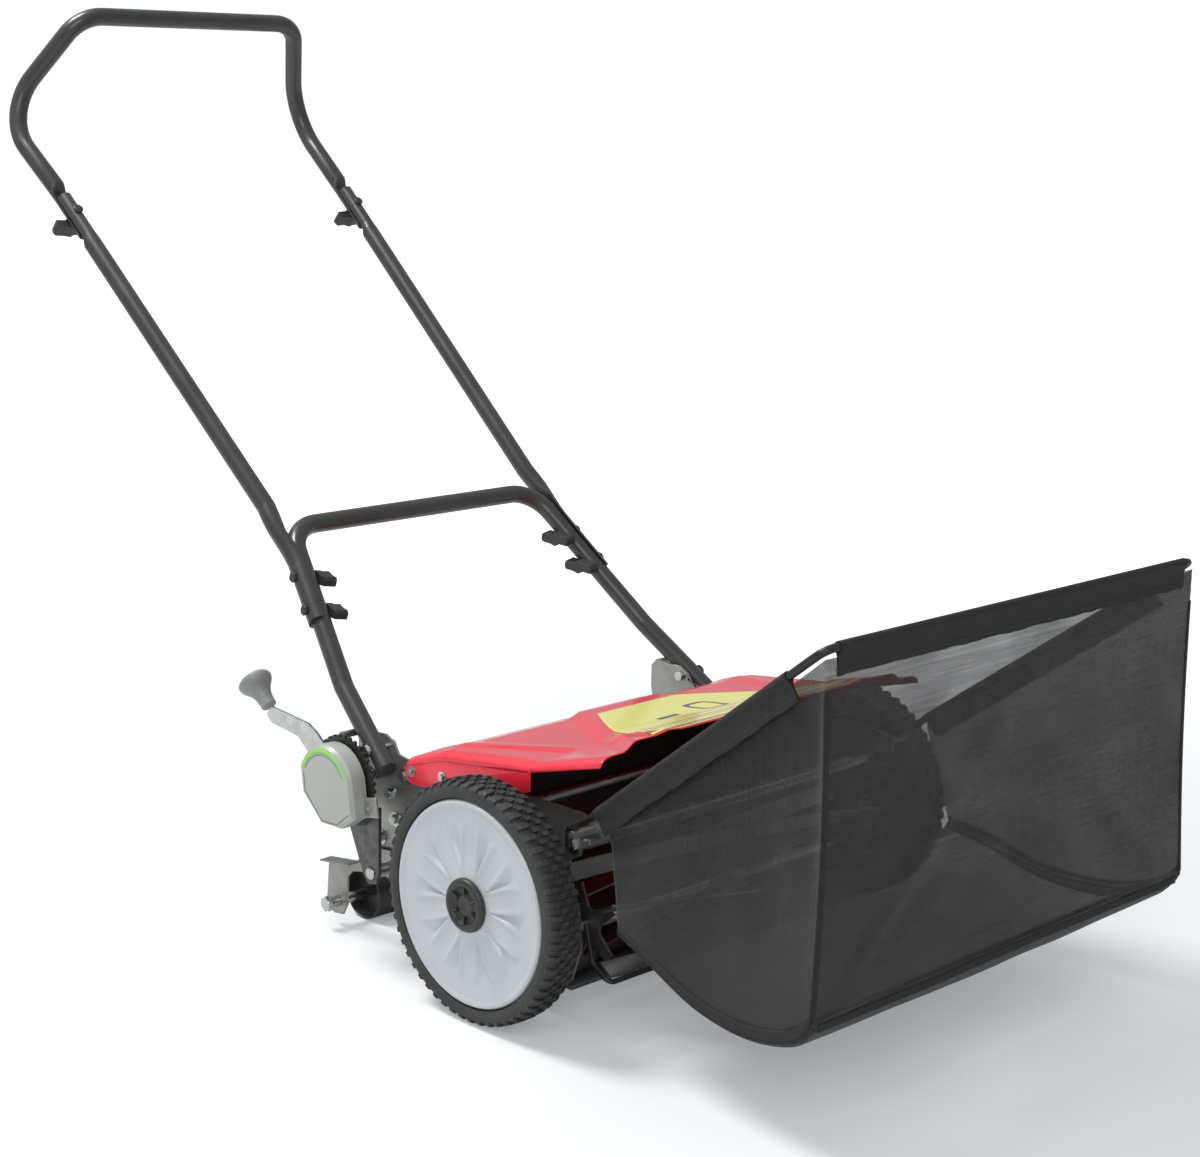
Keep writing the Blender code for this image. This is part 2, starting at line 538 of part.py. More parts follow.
def adjuster():
    """The fixed parts round the lever: its stud, its notched disc and its grey housing."""
    profile = [(0.2285, 0), (0.2285, 0.0060), (0.2790, 0.0060), (0.2790, 0)]
    stud = [(0.2232, 0), (0.2232, 0.010), (0.2282, 0.010), *profile[1:]]
    add("lever_stud", lathe(stud, 12, (LEVER_Y, LEVER_Z)), (0.5, 0.5, 0.5), 0.35, 1.0, flip=True)
    notched = []
    for i in range(22):
        angle = math.radians(-30 + 10 * i)
        for shift, radius in ((-0.06, 0.0485), (-0.03, 0.0520), (0.03, 0.0520), (0.06, 0.0485)):
            notched.append((LEVER_Y + radius * math.cos(angle + shift), LEVER_Z + radius * math.sin(angle + shift)))
    notched += [(0.196, 0.1620), (0.213, 0.1480), (0.262, 0.1380), (0.283, 0.1500)]
    disc = plate([notched, circle(LEVER_Y, LEVER_Z, 0.0100)], 0.2702, 0.2740)
    add("adjuster_disc", disc, BLACK, 0.5, flip=True)
    housing_outline = []
    for i in range(13):
        angle = math.radians(20 + 11.7 * i)
        housing_outline.append((LEVER_Y + 0.0455 * math.cos(angle), LEVER_Z + 0.0455 * math.sin(angle)))
    housing_outline += [(0.196, 0.1640), (0.2200, 0.1480), (0.2500, 0.1470), (0.2830, 0.1760)]
    middle = Vector((LEVER_Y, 0.187))
    inner = [tuple(middle.lerp(Vector(point), 0.935)) for point in housing_outline]
    mesh = bmesh.new()
    outside = [(housing_outline, 0.2782), (housing_outline, 0.2960), (inner, 0.3010)]
    cavity = [(inner, 0.2782), (inner, 0.2975)]
    for walls in (outside, cavity):
        for i, (outline, x) in enumerate(walls):
            walls[i] = [mesh.verts.new((x, y, z)) for y, z in outline]
        skin(mesh, walls)
        mesh.faces.new(walls[-1])
    skin(mesh, [outside[0], cavity[0]])
    add("adjuster_cover", mesh, (0.45, 0.47, 0.44), 0.4, flip=True)


# Handle

LEG = (LOWER_CORNER - LOWER_KINK).normalized()
HUG = (Vector((1, 0, 0)) - LEG * LEG.x).normalized()
SHAFT = (JOINT - MID_BEND).normalized()
OVER = Vector((0, -SHAFT.z, SHAFT.y)).normalized()
LOWER_BOLTS = [LOWER_KINK + LEG * reach for reach in (0.104, 0.150)]
UPPER_BOLT = JOINT - SHAFT * 0.025
NEST = 0.0133  # the middle radius of the crescent that a squashed tube makes round its neighbour
CRESCENT = (NEST, NEST, 1.30)
HALF_SHELL = (0, 0.009, 1.43)
HOLE = [(0, 0), (0, 0.0034), (0.060, 0.0034), (0.060, 0)]


def lower_handle():
    """One tube bent to a U, whose ends are bolted outside the plates."""
    half = [(LOWER_END, 0), (LOWER_KINK, 0.05), (LOWER_CORNER, 0.045)]
    far = [(Vector((-p.x, p.y, p.z)), r) for p, r in reversed(half)]
    points = rounded([*half, *far], 5)
    made = add("lower_handle", tube(points, (1, 0, 0), [0] * len(points)), BLACK, 0.35, 0.3, pivot=(0, TILT_Y, TILT_Z))
    cuts = []
    for flip in (True, False):
        holes = [aim(lathe(HOLE, 8), place - HUG * 0.03, HUG) for place in LOWER_BOLTS]
        holes.append(aim(lathe(HOLE, 8), (0.222, TILT_Y, TILT_Z), (1, 0, 0)))
        cuts += [mirror(hole) if flip else hole for hole in holes]
    combine(made, join(cuts), "DIFFERENCE")


def mid_tube(side, flip):
    """The long straight tube. Its squashed ends lie on the lower and on the upper handle."""
    start = LOWER_KINK + LEG * 0.088 + HUG * NEST
    leave = LOWER_KINK + LEG * 0.170 + HUG * (NEST + 0.001)
    end = JOINT + SHAFT * 0.005
    points = [start, start.lerp(leave, 0.5), leave]
    bend = [(leave, 0), (MID_BEND, 0.030), (end, 0)]
    points += rounded(bend, 3)[1:-1]
    low = len(points)
    flat = [JOINT - SHAFT * back for back in (0.073, 0.058, 0.028)]
    points += [*flat, end]
    run = tube_ends(points, low)
    made = add("mid_tube_" + side, run, BLACK, 0.35, 0.3, pivot=(0, TILT_Y, TILT_Z), flip=flip)
    cuts = [aim(lathe(HOLE, 8), place - HUG * 0.03, HUG) for place in LOWER_BOLTS]
    cuts.append(aim(lathe(HOLE, 8), UPPER_BOLT - OVER * 0.03, OVER))
    combine(made, join([mirror(cut) if flip else cut for cut in cuts]), "DIFFERENCE")


def tube_ends(points, low):
    """The middle tube's mesh: nested round the lower handle, then round, then a half shell."""
    mesh = bmesh.new()
    outer = []
    inner = []
    for i, (point, (tangent, _, _)) in enumerate(zip(points, frames(points, HUG))):
        nested = i < low
        away = HUG if nested else OVER
        shape = CRESCENT if nested else HALF_SHELL
        amount = 0 if 3 <= i <= low else 1
        normal = (away - tangent * away.dot(tangent)).normalized()
        across = tangent.cross(normal)
        turn = 0 if nested else round(OVER_TURN * TUBE_SIDES / math.tau)
        for rings, radius, thick in ((outer, TUBE_R, 0.0020), (inner, TUBE_R - TUBE_WALL, 0.0007)):
            section = ring_of(radius, thick, amount, shape)
            section = section[turn:] + section[:turn]
            rings.append([mesh.verts.new(point + normal * u + across * v) for u, v in section])
    skin(mesh, outer)
    skin(mesh, inner)
    for end in (0, -1):
        skin(mesh, [outer[end], inner[end]])
    return mesh


def turn_between():
    """The angle about the tube from the outward side to the upper side."""
    across = (HUG - SHAFT * HUG.dot(SHAFT)).normalized()
    above = (OVER - SHAFT * OVER.dot(SHAFT)).normalized()
    return math.atan2(across.cross(above).dot(SHAFT), across.dot(above))


OVER_TURN = -turn_between()


def upper_handle():
    """One tube bent to a wide U, with a half shell under each of its ends."""
    start = JOINT - SHAFT * 0.055
    half = [(start, 0), (JOINT - SHAFT * 0.020, 0), (JOINT + SHAFT * 0.009, 0), (JOINT + SHAFT * 0.026, 0),
            (TOP_BEND, 0.065), (TOP_CORNER, 0.045)]
    far = [(Vector((-p.x, p.y, p.z)), r) for p, r in reversed(half)]
    points = rounded([*half, *far], 5)
    amounts = [1, 1, 1] + [0] * (len(points) - 6) + [1, 1, 1]
    mesh = tube(points, -OVER, amounts)
    made = add("upper_handle", mesh, BLACK, 0.35, 0.3, pivot=(0, TILT_Y, TILT_Z))
    cuts = []
    for flip in (True, False):
        hole = aim(lathe(HOLE, 8), UPPER_BOLT - OVER * 0.03, OVER)
        cuts.append(mirror(hole) if flip else hole)
    combine(made, join(cuts), "DIFFERENCE")


def pivot_bolts():
    """The two bolts on which the whole handle tilts."""
    for side, flip in (("right", True), ("left", False)):
        head_x = 0.2617
        mesh = bolt(0.0065, 0.0024, 0.0030, head_x - 0.2235, nut=0.0045, nut_r=0.0060, sides=10)
        mesh = aim(mesh, (head_x, TILT_Y, TILT_Z), (-1, 0, 0))
        add("pivot_bolt_" + side, mesh, (0.62, 0.63, 0.64), 0.3, 1.0, flip=flip)


def wing_knob(name, place, axis, reach, flip):
    """A black knob with two wings, and the bolt moulded into it, whose head is reach away."""
    outline = []
    for sign in (1, -1):
        for y, z in ((0.0075, -0.0050), (0.0185, -0.0062), (0.0205, 0.0010), (0.0185, 0.0048),
                     (0.0075, 0.0060), (0.0000, 0.0085)):
            outline.append((sign * y, sign * z))
    made = add(name, aim(plate([outline], 0, 0.0165), place, axis), BLACK, 0.45, pivot=place, flip=flip)
    screw = aim(bolt(0.0065, 0.0032, 0.0030, reach + 0.006, sides=8), place - axis * reach, axis)
    combine(made, mirror(screw) if flip else screw, "UNION")


def wing_knobs():
    for side, flip in (("right", True), ("left", False)):
        for word, place in zip(("rear", "front"), reversed(LOWER_BOLTS)):
            wing_knob(f"wing_knob_{side}_{word}", place - HUG * 0.0116, -HUG, 0.0116 + 0.0165, flip)
        wing_knob(f"wing_knob_{side}_upper", UPPER_BOLT - OVER * 0.0116, -OVER, 0.0116 + 0.0115, flip)


# Grass catcher

def catcher_rim():
    """The rod along the top of the bag, hooked over a stud at each end."""
    half = [(Vector((0.2575, -0.0892, 0.1990)), 0), (Vector((0.2575, -0.0892, 0.2185)), 0.006),
            (RIM_BACK, 0.010), (RIM_CORNER, 0.012)]
    far = [(Vector((-p.x, p.y, p.z)), r) for p, r in reversed(half)]
    add("catcher_rim", rod(rounded([*half, *far], 4), RIM_R, 8, up=(1, 0, 0)), BLACK, 0.4, 0.5)


BAG = [  # top y, floor y, floor z, half width at the top and at the floor
    (-0.136, -0.165, 0.124, 0.2520, 0.262), (-0.205, -0.215, 0.113, 0.2600, 0.272),
    (-0.280, -0.285, 0.092, 0.2700, 0.281), (-0.350, -0.355, 0.089, 0.2790, 0.290),
    (-0.410, -0.415, 0.104, 0.2865, 0.297), (-0.4330, -0.4400, 0.127, 0.2910, 0.299)]


def catcher_bag():
    """The mesh bag: two sides, a floor and a front, open at the top and at the rear."""
    start = RIM_BACK
    mesh = bmesh.new()
    rows = []
    for top_y, low_y, low_z, top_w, low_w in BAG:
        rim_z = start.z + (RIM_CORNER.z - start.z) * (top_y - start.y) / (RIM_CORNER.y - start.y) - 0.0090
        side = []
        for part in (0, 0.5, 1):
            y = top_y + (low_y - top_y) * part
            side.append((top_w + (low_w - top_w) * part, y, rim_z + (low_z + 0.010 - rim_z) * part))
        side += [(low_w - 0.003, low_y, low_z + 0.003), (low_w - 0.010, low_y, low_z), (0, low_y, low_z - 0.004)]
        half = [Vector(point) for point in side]
        far = [Vector((-p.x, p.y, p.z)) for p in reversed(half[:-1])]
        rows.append([mesh.verts.new(point) for point in [*half, *far]])
    for a, b in zip(rows, rows[1:]):
        for i in range(len(a) - 1):
            mesh.faces.new((a[i], a[i + 1], b[i + 1], b[i]))
    front = rows[-1]
    count = len(front) // 2
    for i in range(count - 1):
        mesh.faces.new((front[i], front[i + 1], front[-2 - i], front[-1 - i]))
    mesh.faces.new((front[count - 1], front[count], front[count + 1]))
    made = add("catcher_bag", mesh, (0.02, 0.022, 0.024), 0.9)
    thick = made.modifiers.new("cloth", "SOLIDIFY")
    thick.thickness = 0.0014
    thick.offset = 0


def catcher_base():
    """The wire in the bag's bottom seam."""
    half = [(Vector((0.2545, -0.176, 0.1275)), 0), (Vector((0.2745, -0.300, 0.0995)), 0.20),
            (Vector((0.286, -0.385, 0.104)), 0.08), (Vector((0.2885, -0.4310, 0.132)), 0.015)]
    far = [(Vector((-p.x, p.y, p.z)), r) for p, r in reversed(half)]
    add("catcher_base", rod(rounded([*half, *far], 4), 0.0022, 6), BLACK, 0.4, 0.5)


side_plates()
tie_rods()
bed_knife()
deflector()
axles()
gear_covers()
bearings()
catcher_support()
for wheel_side, mirrored in (("right", True), ("left", False)):
    wheel(wheel_side, mirrored)
    pinion(wheel_side, mirrored)
    mid_tube(wheel_side, mirrored)
reel_shaft()
reel_blades()
reel_spiders()
roller()
roller_frame()
sector()
lever()
adjuster()
lower_handle()
upper_handle()
pivot_bolts()
wing_knobs()
catcher_rim()
catcher_bag()
catcher_base()
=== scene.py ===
"""Push reel mower: the looks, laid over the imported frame. Metres, +Z up, mowing towards -Y."""

import math

import bmesh
import bpy
from mathutils import Matrix, Vector, noise


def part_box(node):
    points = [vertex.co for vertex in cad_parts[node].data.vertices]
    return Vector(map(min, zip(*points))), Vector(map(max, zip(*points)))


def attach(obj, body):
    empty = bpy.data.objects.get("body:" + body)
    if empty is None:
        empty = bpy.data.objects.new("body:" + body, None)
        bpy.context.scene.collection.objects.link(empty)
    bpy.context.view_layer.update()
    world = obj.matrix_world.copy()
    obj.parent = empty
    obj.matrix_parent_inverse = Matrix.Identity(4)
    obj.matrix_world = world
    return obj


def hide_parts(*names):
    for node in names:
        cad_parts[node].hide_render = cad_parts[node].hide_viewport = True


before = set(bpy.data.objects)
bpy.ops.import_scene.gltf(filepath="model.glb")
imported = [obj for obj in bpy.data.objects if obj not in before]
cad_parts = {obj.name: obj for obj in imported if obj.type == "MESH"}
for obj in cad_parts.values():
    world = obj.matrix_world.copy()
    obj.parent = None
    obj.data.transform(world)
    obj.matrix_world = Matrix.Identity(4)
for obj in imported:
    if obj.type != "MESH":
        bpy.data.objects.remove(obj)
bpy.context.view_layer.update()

# Side plates: two sheets of grey steel that carry the axles, the reel and the knife.
# They are cut and punched flat, so only their edges are broken. The rear pair of studs on
# them holds the handle up and the front pair carries the catcher.

SIDES = {"right": -1, "left": 1}
LEFT_FIRST = (("left", 1), ("right", -1))


def new_object(name, data):
    """An object that holds data, linked into the scene."""
    made = bpy.data.objects.new(name, data)
    bpy.context.scene.collection.objects.link(made)
    return made


def node_group(kind, name, inputs, outputs):
    """An empty node group with named sockets, its input node and its output node."""
    tree = bpy.data.node_groups.new(name, kind)
    for in_out, sockets in (("INPUT", inputs), ("OUTPUT", outputs)):
        for label, socket_kind, *value in sockets:
            socket = tree.interface.new_socket(name=label, in_out=in_out,
                                               socket_type="NodeSocket" + socket_kind)
            if value:
                socket.default_value = value[0]
    return tree, tree.nodes.new("NodeGroupInput"), tree.nodes.new("NodeGroupOutput")


def put(tree, kind, settings=None, **values):
    """A new node with its properties set, its inputs filled in by name, or linked to a socket."""
    made = tree.nodes.new(kind)
    for name, value in (settings or {}).items():
        setattr(made, name, value)
    for name, value in values.items():
        numbered = name[0] == "i" and name[1:].isdigit()
        socket = made.inputs[int(name[1:]) if numbered else name.replace("_", " ")]
        if isinstance(value, bpy.types.NodeSocket):
            tree.links.new(value, socket)
        else:
            socket.default_value = value
    return made


def maths(tree, kind, *terms):
    """The result of one Math node."""
    numbered = {f"i{i}": term for i, term in enumerate(terms)}
    return put(tree, "ShaderNodeMath", {"operation": kind}, **numbered).outputs[0]


def mixed(tree, part, first, second):
    """The colour that lies part of the way from first to second."""
    return put(tree, "ShaderNodeMix", {"data_type": "RGBA"}, i0=part, i6=first, i7=second).outputs[2]


def noise_over(tree, place, scale, detail):
    """Smooth noise from 0 to 1 over a place."""
    return put(tree, "ShaderNodeTexNoise", Vector=place, Scale=scale, Detail=detail).outputs["Fac"]


def object_place(tree):
    """The place on the object, in metres."""
    return put(tree, "ShaderNodeTexCoord").outputs["Object"]


def bump_into(socket, tree, height, strength, distance):
    """Feed a normal socket with a bump of this height."""
    bump = put(tree, "ShaderNodeBump", Strength=strength, Distance=distance, Height=height)
    tree.links.new(bump.outputs[0], socket)


def shop_finish_group():
    """Colour that drifts a little, darker in broad patches, with a fine grain that stands up."""
    tree, given, out = node_group(
        "ShaderNodeTree", "ShopFinish",
        [("Colour", "Color", (0.5, 0.5, 0.5, 1)), ("Patch Colour", "Color", (0.4, 0.4, 0.4, 1)),
         ("Patch Size", "Float", 0.05), ("Patch Amount", "Float", 0.4), ("Roughness", "Float", 0.4),
         ("Roughness Spread", "Float", 0.1), ("Grain Size", "Float", 0.002), ("Grain Depth", "Float", 0.1)],
        [("Colour", "Color"), ("Roughness", "Float"), ("Normal", "Vector")])
    value = given.outputs
    place = object_place(tree)
    patches = noise_over(tree, place, maths(tree, "DIVIDE", 1.0, value["Patch Size"]), 3.0)
    spread = put(tree, "ShaderNodeMapRange", Value=patches, From_Min=0.38, From_Max=0.66)
    amount = maths(tree, "MULTIPLY", spread.outputs["Result"], value["Patch Amount"])
    grain = noise_over(tree, place, maths(tree, "DIVIDE", 1.0, value["Grain Size"]), 2.0)
    rough = maths(tree, "MULTIPLY_ADD", maths(tree, "SUBTRACT", patches, 0.5), value["Roughness Spread"],
                  value["Roughness"])
    tree.links.new(mixed(tree, amount, value["Colour"], value["Patch Colour"]), out.inputs["Colour"])
    tree.links.new(rough, out.inputs["Roughness"])
    bump_into(out.inputs["Normal"], tree, grain, value["Grain Depth"], 0.0004)
    return tree


SHOP_FINISH = shop_finish_group()


def new_material(name, **values):
    """A material with its shader's sockets set by name, its node tree and that shader."""
    made = bpy.data.materials.new(name)
    made.use_nodes = True
    shader = made.node_tree.nodes["Principled BSDF"]
    for key, value in values.items():
        shader.inputs[key.replace("_", " ")].default_value = value
    return made, made.node_tree, shader


def finish(name, colour, patch, patches, rough, grain, metallic=0.0, coat=0.0):
    """A material from the shop finish group.

    patches is their size in metres and their amount, rough is the roughness and its spread, and
    grain is the grain's size in metres and its depth.
    """
    made, tree, shader = new_material(name, Metallic=metallic, Coat_Weight=coat, Coat_Roughness=0.08)
    group = put(tree, "ShaderNodeGroup", {"node_tree": SHOP_FINISH}, Colour=(*colour, 1),
                Patch_Colour=(*patch, 1), Patch_Size=patches[0], Patch_Amount=patches[1],
                Roughness=rough[0], Roughness_Spread=rough[1], Grain_Size=grain[0], Grain_Depth=grain[1])
    for output, socket in (("Colour", "Base Color"), ("Roughness", "Roughness"), ("Normal", "Normal")):
        tree.links.new(group.outputs[output], shader.inputs[socket])
    return made


def riding(name, data, body, hides=(), sharp=35):
    """A finished piece that holds a mesh, rides its body and stands for the solids it hides."""
    data.shade_smooth()
    data.set_sharp_from_angle(angle=math.radians(sharp))
    made = new_object(name, data)
    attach(made, body)
    if hides:
        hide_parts(*hides)
    return made


def show(name, mesh, material, body, hides=(), sharp=35):
    """Make a finished piece of a bmesh."""
    data = bpy.data.meshes.new(name)
    bmesh.ops.recalc_face_normals(mesh, faces=mesh.faces)
    mesh.to_mesh(data)
    mesh.free()
    data.materials.append(material)
    return riding(name, data, body, hides, sharp)


def break_edges(piece, width, segments=2):
    """Round over a piece's sharp edges."""
    bevel = piece.modifiers.new("broken edges", "BEVEL")
    bevel.width = width
    bevel.segments = segments
    bevel.limit_method = "ANGLE"
    return bevel


def eased(node, width, material, body, turn=2, segments=2):
    """A copy of a flat solid with its coplanar facets redrawn as few triangles and its edges broken."""
    mesh = bmesh.new()
    mesh.from_mesh(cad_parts[node].data)
    bmesh.ops.remove_doubles(mesh, verts=mesh.verts, dist=1e-6)
    bmesh.ops.dissolve_limit(mesh, angle_limit=math.radians(turn), verts=mesh.verts, edges=mesh.edges)
    many_sided = [face for face in mesh.faces if len(face.verts) > 4]
    bmesh.ops.triangulate(mesh, faces=many_sided, ngon_method="EAR_CLIP")
    bevel = break_edges(show(node + "_finish", mesh, material, body, [node]), width, segments)
    bevel.angle_limit = math.radians(38)
    bevel.harden_normals = True


PLATE_STEEL = finish("PlateSteel", (0.37, 0.365, 0.345), (0.21, 0.205, 0.19), patches=(0.035, 0.6),
                     rough=(0.36, 0.25), grain=(0.0016, 0.10), metallic=0.80)
for side in SIDES:
    eased("side_plate_" + side, 0.0004, PLATE_STEEL, "chassis")

# Tie rods: two bright steel rods with turned shoulders, pulled up between the plates by a
# bolt at each end. They are turned from bar, so they show fine rings round them.


def turned(profile, centre, steps=48):
    """Turn a closed outline of (x, radius) points about a line along X through centre (y, z)."""
    mesh = bmesh.new()
    rings = []
    for x, radius in profile:
        if radius < 1e-6:
            rings.append([mesh.verts.new((x, *centre))])
            continue
        turns = [math.tau * i / steps for i in range(steps)]
        rings.append([mesh.verts.new((x, centre[0] + radius * math.cos(a), centre[1] + radius * math.sin(a)))
                      for a in turns])
    for first, second in zip(rings, rings[1:] + rings[:1]):
        if len(first) == 1 and len(second) == 1:
            continue
        for i in range(steps):
            corners = [first[(i - 1) % len(first)], first[i % len(first)],
                       second[i % len(second)], second[(i - 1) % len(second)]]
            mesh.faces.new(list(dict.fromkeys(corners)))
    return mesh


def middle(node):
    """The centre of a node's box, in the planes along and above the ground."""
    low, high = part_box(node)
    return (low.y + high.y) / 2, (low.z + high.z) / 2


def turned_bar(name, node, material, body, radius, tip, chamfer, steps=28):
    """A round bar as long as its node, chamfered down to the radius of its tips."""
    low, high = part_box(node)
    profile = [(low.x, 0), (low.x, tip), (low.x + chamfer, radius), (high.x - chamfer, radius), (high.x, tip),
               (high.x, 0)]
    show(name, turned(profile, middle(node), steps), material, body, [node])


def brushed(name, colour, rough, across=(900.0, 30.0, 30.0), depth=0.06):
    """Bare steel with fine lines drawn out along one direction of the object."""
    made = finish(name, colour, tuple(c * 0.7 for c in colour), patches=(0.03, 0.5), rough=(rough, 0.2),
                  grain=(0.003, 0.0), metallic=1.0)
    tree = made.node_tree
    stretched = put(tree, "ShaderNodeMapping", Vector=object_place(tree), Scale=across)
    lines = noise_over(tree, stretched.outputs[0], 1.0, 3.0)
    bump_into(tree.nodes["Principled BSDF"].inputs["Normal"], tree, lines, depth, 0.0003)
    return made


TURNED_STEEL = brushed("TurnedSteel", (0.56, 0.57, 0.58), 0.30)
for rod_name in ("tie_rod_front", "tie_rod_rear"):
    low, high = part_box(rod_name)
    radius = (high.z - low.z) / 2
    shoulder = 0.012
    profile = [(low.x, 0), (low.x, radius * 0.8), (low.x + 0.001, radius * 0.86),
               (low.x + shoulder, radius * 0.86), (low.x + shoulder, radius), (high.x - shoulder, radius),
               (high.x - shoulder, radius * 0.86), (high.x - 0.001, radius * 0.86), (high.x, radius * 0.8),
               (high.x, 0)]
    show(rod_name + "_bar", turned(profile, middle(rod_name), 32), TURNED_STEEL, "chassis", [rod_name])

# Bed knife: the ground blade that the reel shears against, on a bar of angle steel.
# The bar is red like the deck but coloured dark maroon as painted shade, and the blade is bare steel with a
# ground edge.

DECK_RED = finish("DeckRed", (0.95, 0.024, 0.058), (0.86, 0.018, 0.046), patches=(0.12, 0.5),
                  rough=(0.34, 0.12), grain=(0.0030, 0.06), coat=0.75)
BLADE_STEEL = brushed("BladeSteel", (0.46, 0.465, 0.47), 0.33, (40.0, 700.0, 700.0), 0.12)
# Deck red darkened to a dark maroon: painted shade for the red parts that lie under the deck.
DECK_RED_PAINTED_SHADE = finish("DeckRedPaintedShade", (0.040, 0.012, 0.014), (0.022, 0.010, 0.011), patches=(0.05, 0.6),
                      rough=(0.50, 0.2), grain=(0.0020, 0.12), coat=0.1)
eased("bed_knife_bar", 0.0006, DECK_RED_PAINTED_SHADE, "chassis")
eased("bed_knife", 0.0003, BLADE_STEEL, "chassis")

# Deck: one pressed sheet of red steel over the reel. Its sides turn down outside the plates,
# its middle is raised between two creases, and a dart stiffens each rear corner.
# It is drawn as a height over the ground, given its skirts, and then its thickness.

DECK_SKIRT, DECK_REAR, DECK_FRONT = 0.2500, 0.171, -0.123
SHEET_STEEL = 0.0012
axle_y, axle_z = middle("axle_left")


def ease(part):
    """0 to 1 with a soft start and a soft stop."""
    part = min(max(part, 0), 1)
    return part * part * (3 - 2 * part)


def deck_height(x, y):
    """Height of the deck's top face at a place in the mower's own frame, y from the axle."""
    if y > 0.115:
        slope = 0.249 - 0.36 * (y - 0.115)
    elif y > -0.020:
        slope = 0.249 + 0.133 * (0.115 - y)
    else:
        slope = 0.267 + 0.277 * (-0.020 - y)
    fan = 0.045 + 0.65 * (0.115 - y)
    fade = min(max((0.150 - y) / 0.050, 0), 1)
    dart = math.exp(-((abs(x) - 0.196 - 0.25 * (y - 0.05)) / 0.012) ** 2) * ease((DECK_REAR - y) / 0.03)
    slope -= 0.011 * (1 - math.sqrt(1 - min(max((abs(x) - 0.232) / 0.0181, 0), 0.995) ** 2))
    return slope + 0.009 * fade * ease((fan + 0.020 - abs(x)) / 0.020) + 0.0024 * dart


def settle(mesh):
    """Move a mesh drawn from the wheel axle to the mower's place on the ground."""
    mesh.transform(Matrix.Translation((0, axle_y, 0)))
    return mesh


def grid_mesh(rows):
    """One open sheet of quads through rows of points."""
    mesh = bmesh.new()
    lines = [[mesh.verts.new(point) for point in row] for row in rows]
    for first, second in zip(lines, lines[1:]):
        for i in range(len(first) - 1):
            mesh.faces.new((first[i], first[i + 1], second[i + 1], second[i]))
    return mesh


def thicken(piece, thickness, offset=-1.0):
    """Give a sheet its thickness: inwards at -1, outwards at 1, both ways at 0."""
    wall = piece.modifiers.new("wall", "SOLIDIFY")
    wall.thickness = thickness
    wall.offset = offset
    wall.use_even_offset = True


def outline_sheet(outline, x, side):
    """A flat sheet in the plane at side * x, filled inside an outline of (y, z) corners."""
    mesh = bmesh.new()
    verts = [mesh.verts.new((side * x, y, z)) for y, z in outline]
    mesh.faces.new(verts)
    bmesh.ops.triangulate(mesh, faces=mesh.faces)
    return mesh


deck_columns = [DECK_SKIRT * (2 * i / 180 - 1) for i in range(181)]
deck_rows = [DECK_REAR + (DECK_FRONT - DECK_REAR) * j / 90 for j in range(91)]
deck_top = show("deck_top",
                settle(grid_mesh([[(x, y, deck_height(x, y)) for x in deck_columns] for y in deck_rows])),
                DECK_RED, "chassis", ["deflector"], sharp=60)
thicken(deck_top, -0.0013 if deck_top.data.polygons[0].normal.z < 0 else 0.0013)
skirt_outline = [(y, deck_height(DECK_SKIRT, y) - 0.0004)
                 for y in (0.170, 0.145, 0.115, 0.050, 0.015, -0.019)]
skirt_outline += [(-0.024, 0.262), (-0.024, 0.238), (0.000, 0.2275), (0.030, 0.218), (0.080, 0.208),
                  (0.156, 0.203), (0.164, 0.2045), (0.170, 0.211), (0.172, 0.220)]
for side, sign in SIDES.items():
    skirt = show("deck_skirt_" + side, settle(outline_sheet(skirt_outline, DECK_SKIRT - 0.0002, sign)),
                 DECK_RED, "chassis")
    thicken(skirt, SHEET_STEEL, -1.0 if skirt.data.polygons[0].normal.x * sign > 0 else 1.0)
    break_edges(skirt, 0.0004)

# Deck scroll: the red sheet that curves down behind the reel, coloured dark maroon as painted shade.
SCROLL_HALF = 0.228
scroll_run = [(0.1690, 0.2290), (0.1735, 0.2265), (0.1752, 0.2200), (0.1755, 0.2100), (0.1740, 0.1970),
              (0.1720, 0.1830), (0.1660, 0.1600), (0.1555, 0.1335), (0.1350, 0.1085), (0.1000, 0.0865),
              (0.0600, 0.0708), (0.0120, 0.0632)]
scroll_rows = [[(SCROLL_HALF * (i / 20 - 1), y, z) for i in range(41)] for y, z in scroll_run]
scroll = show("deck_scroll", settle(grid_mesh(scroll_rows)), DECK_RED_PAINTED_SHADE, "chassis", sharp=60)
thicken(scroll, SHEET_STEEL, 0.0)

# Deck label: a fan of printed yellow film stuck on the raised panel, with a plain dark bar, a
# rounded square and thin warm lines near its front edge. Nothing on it is lettering.


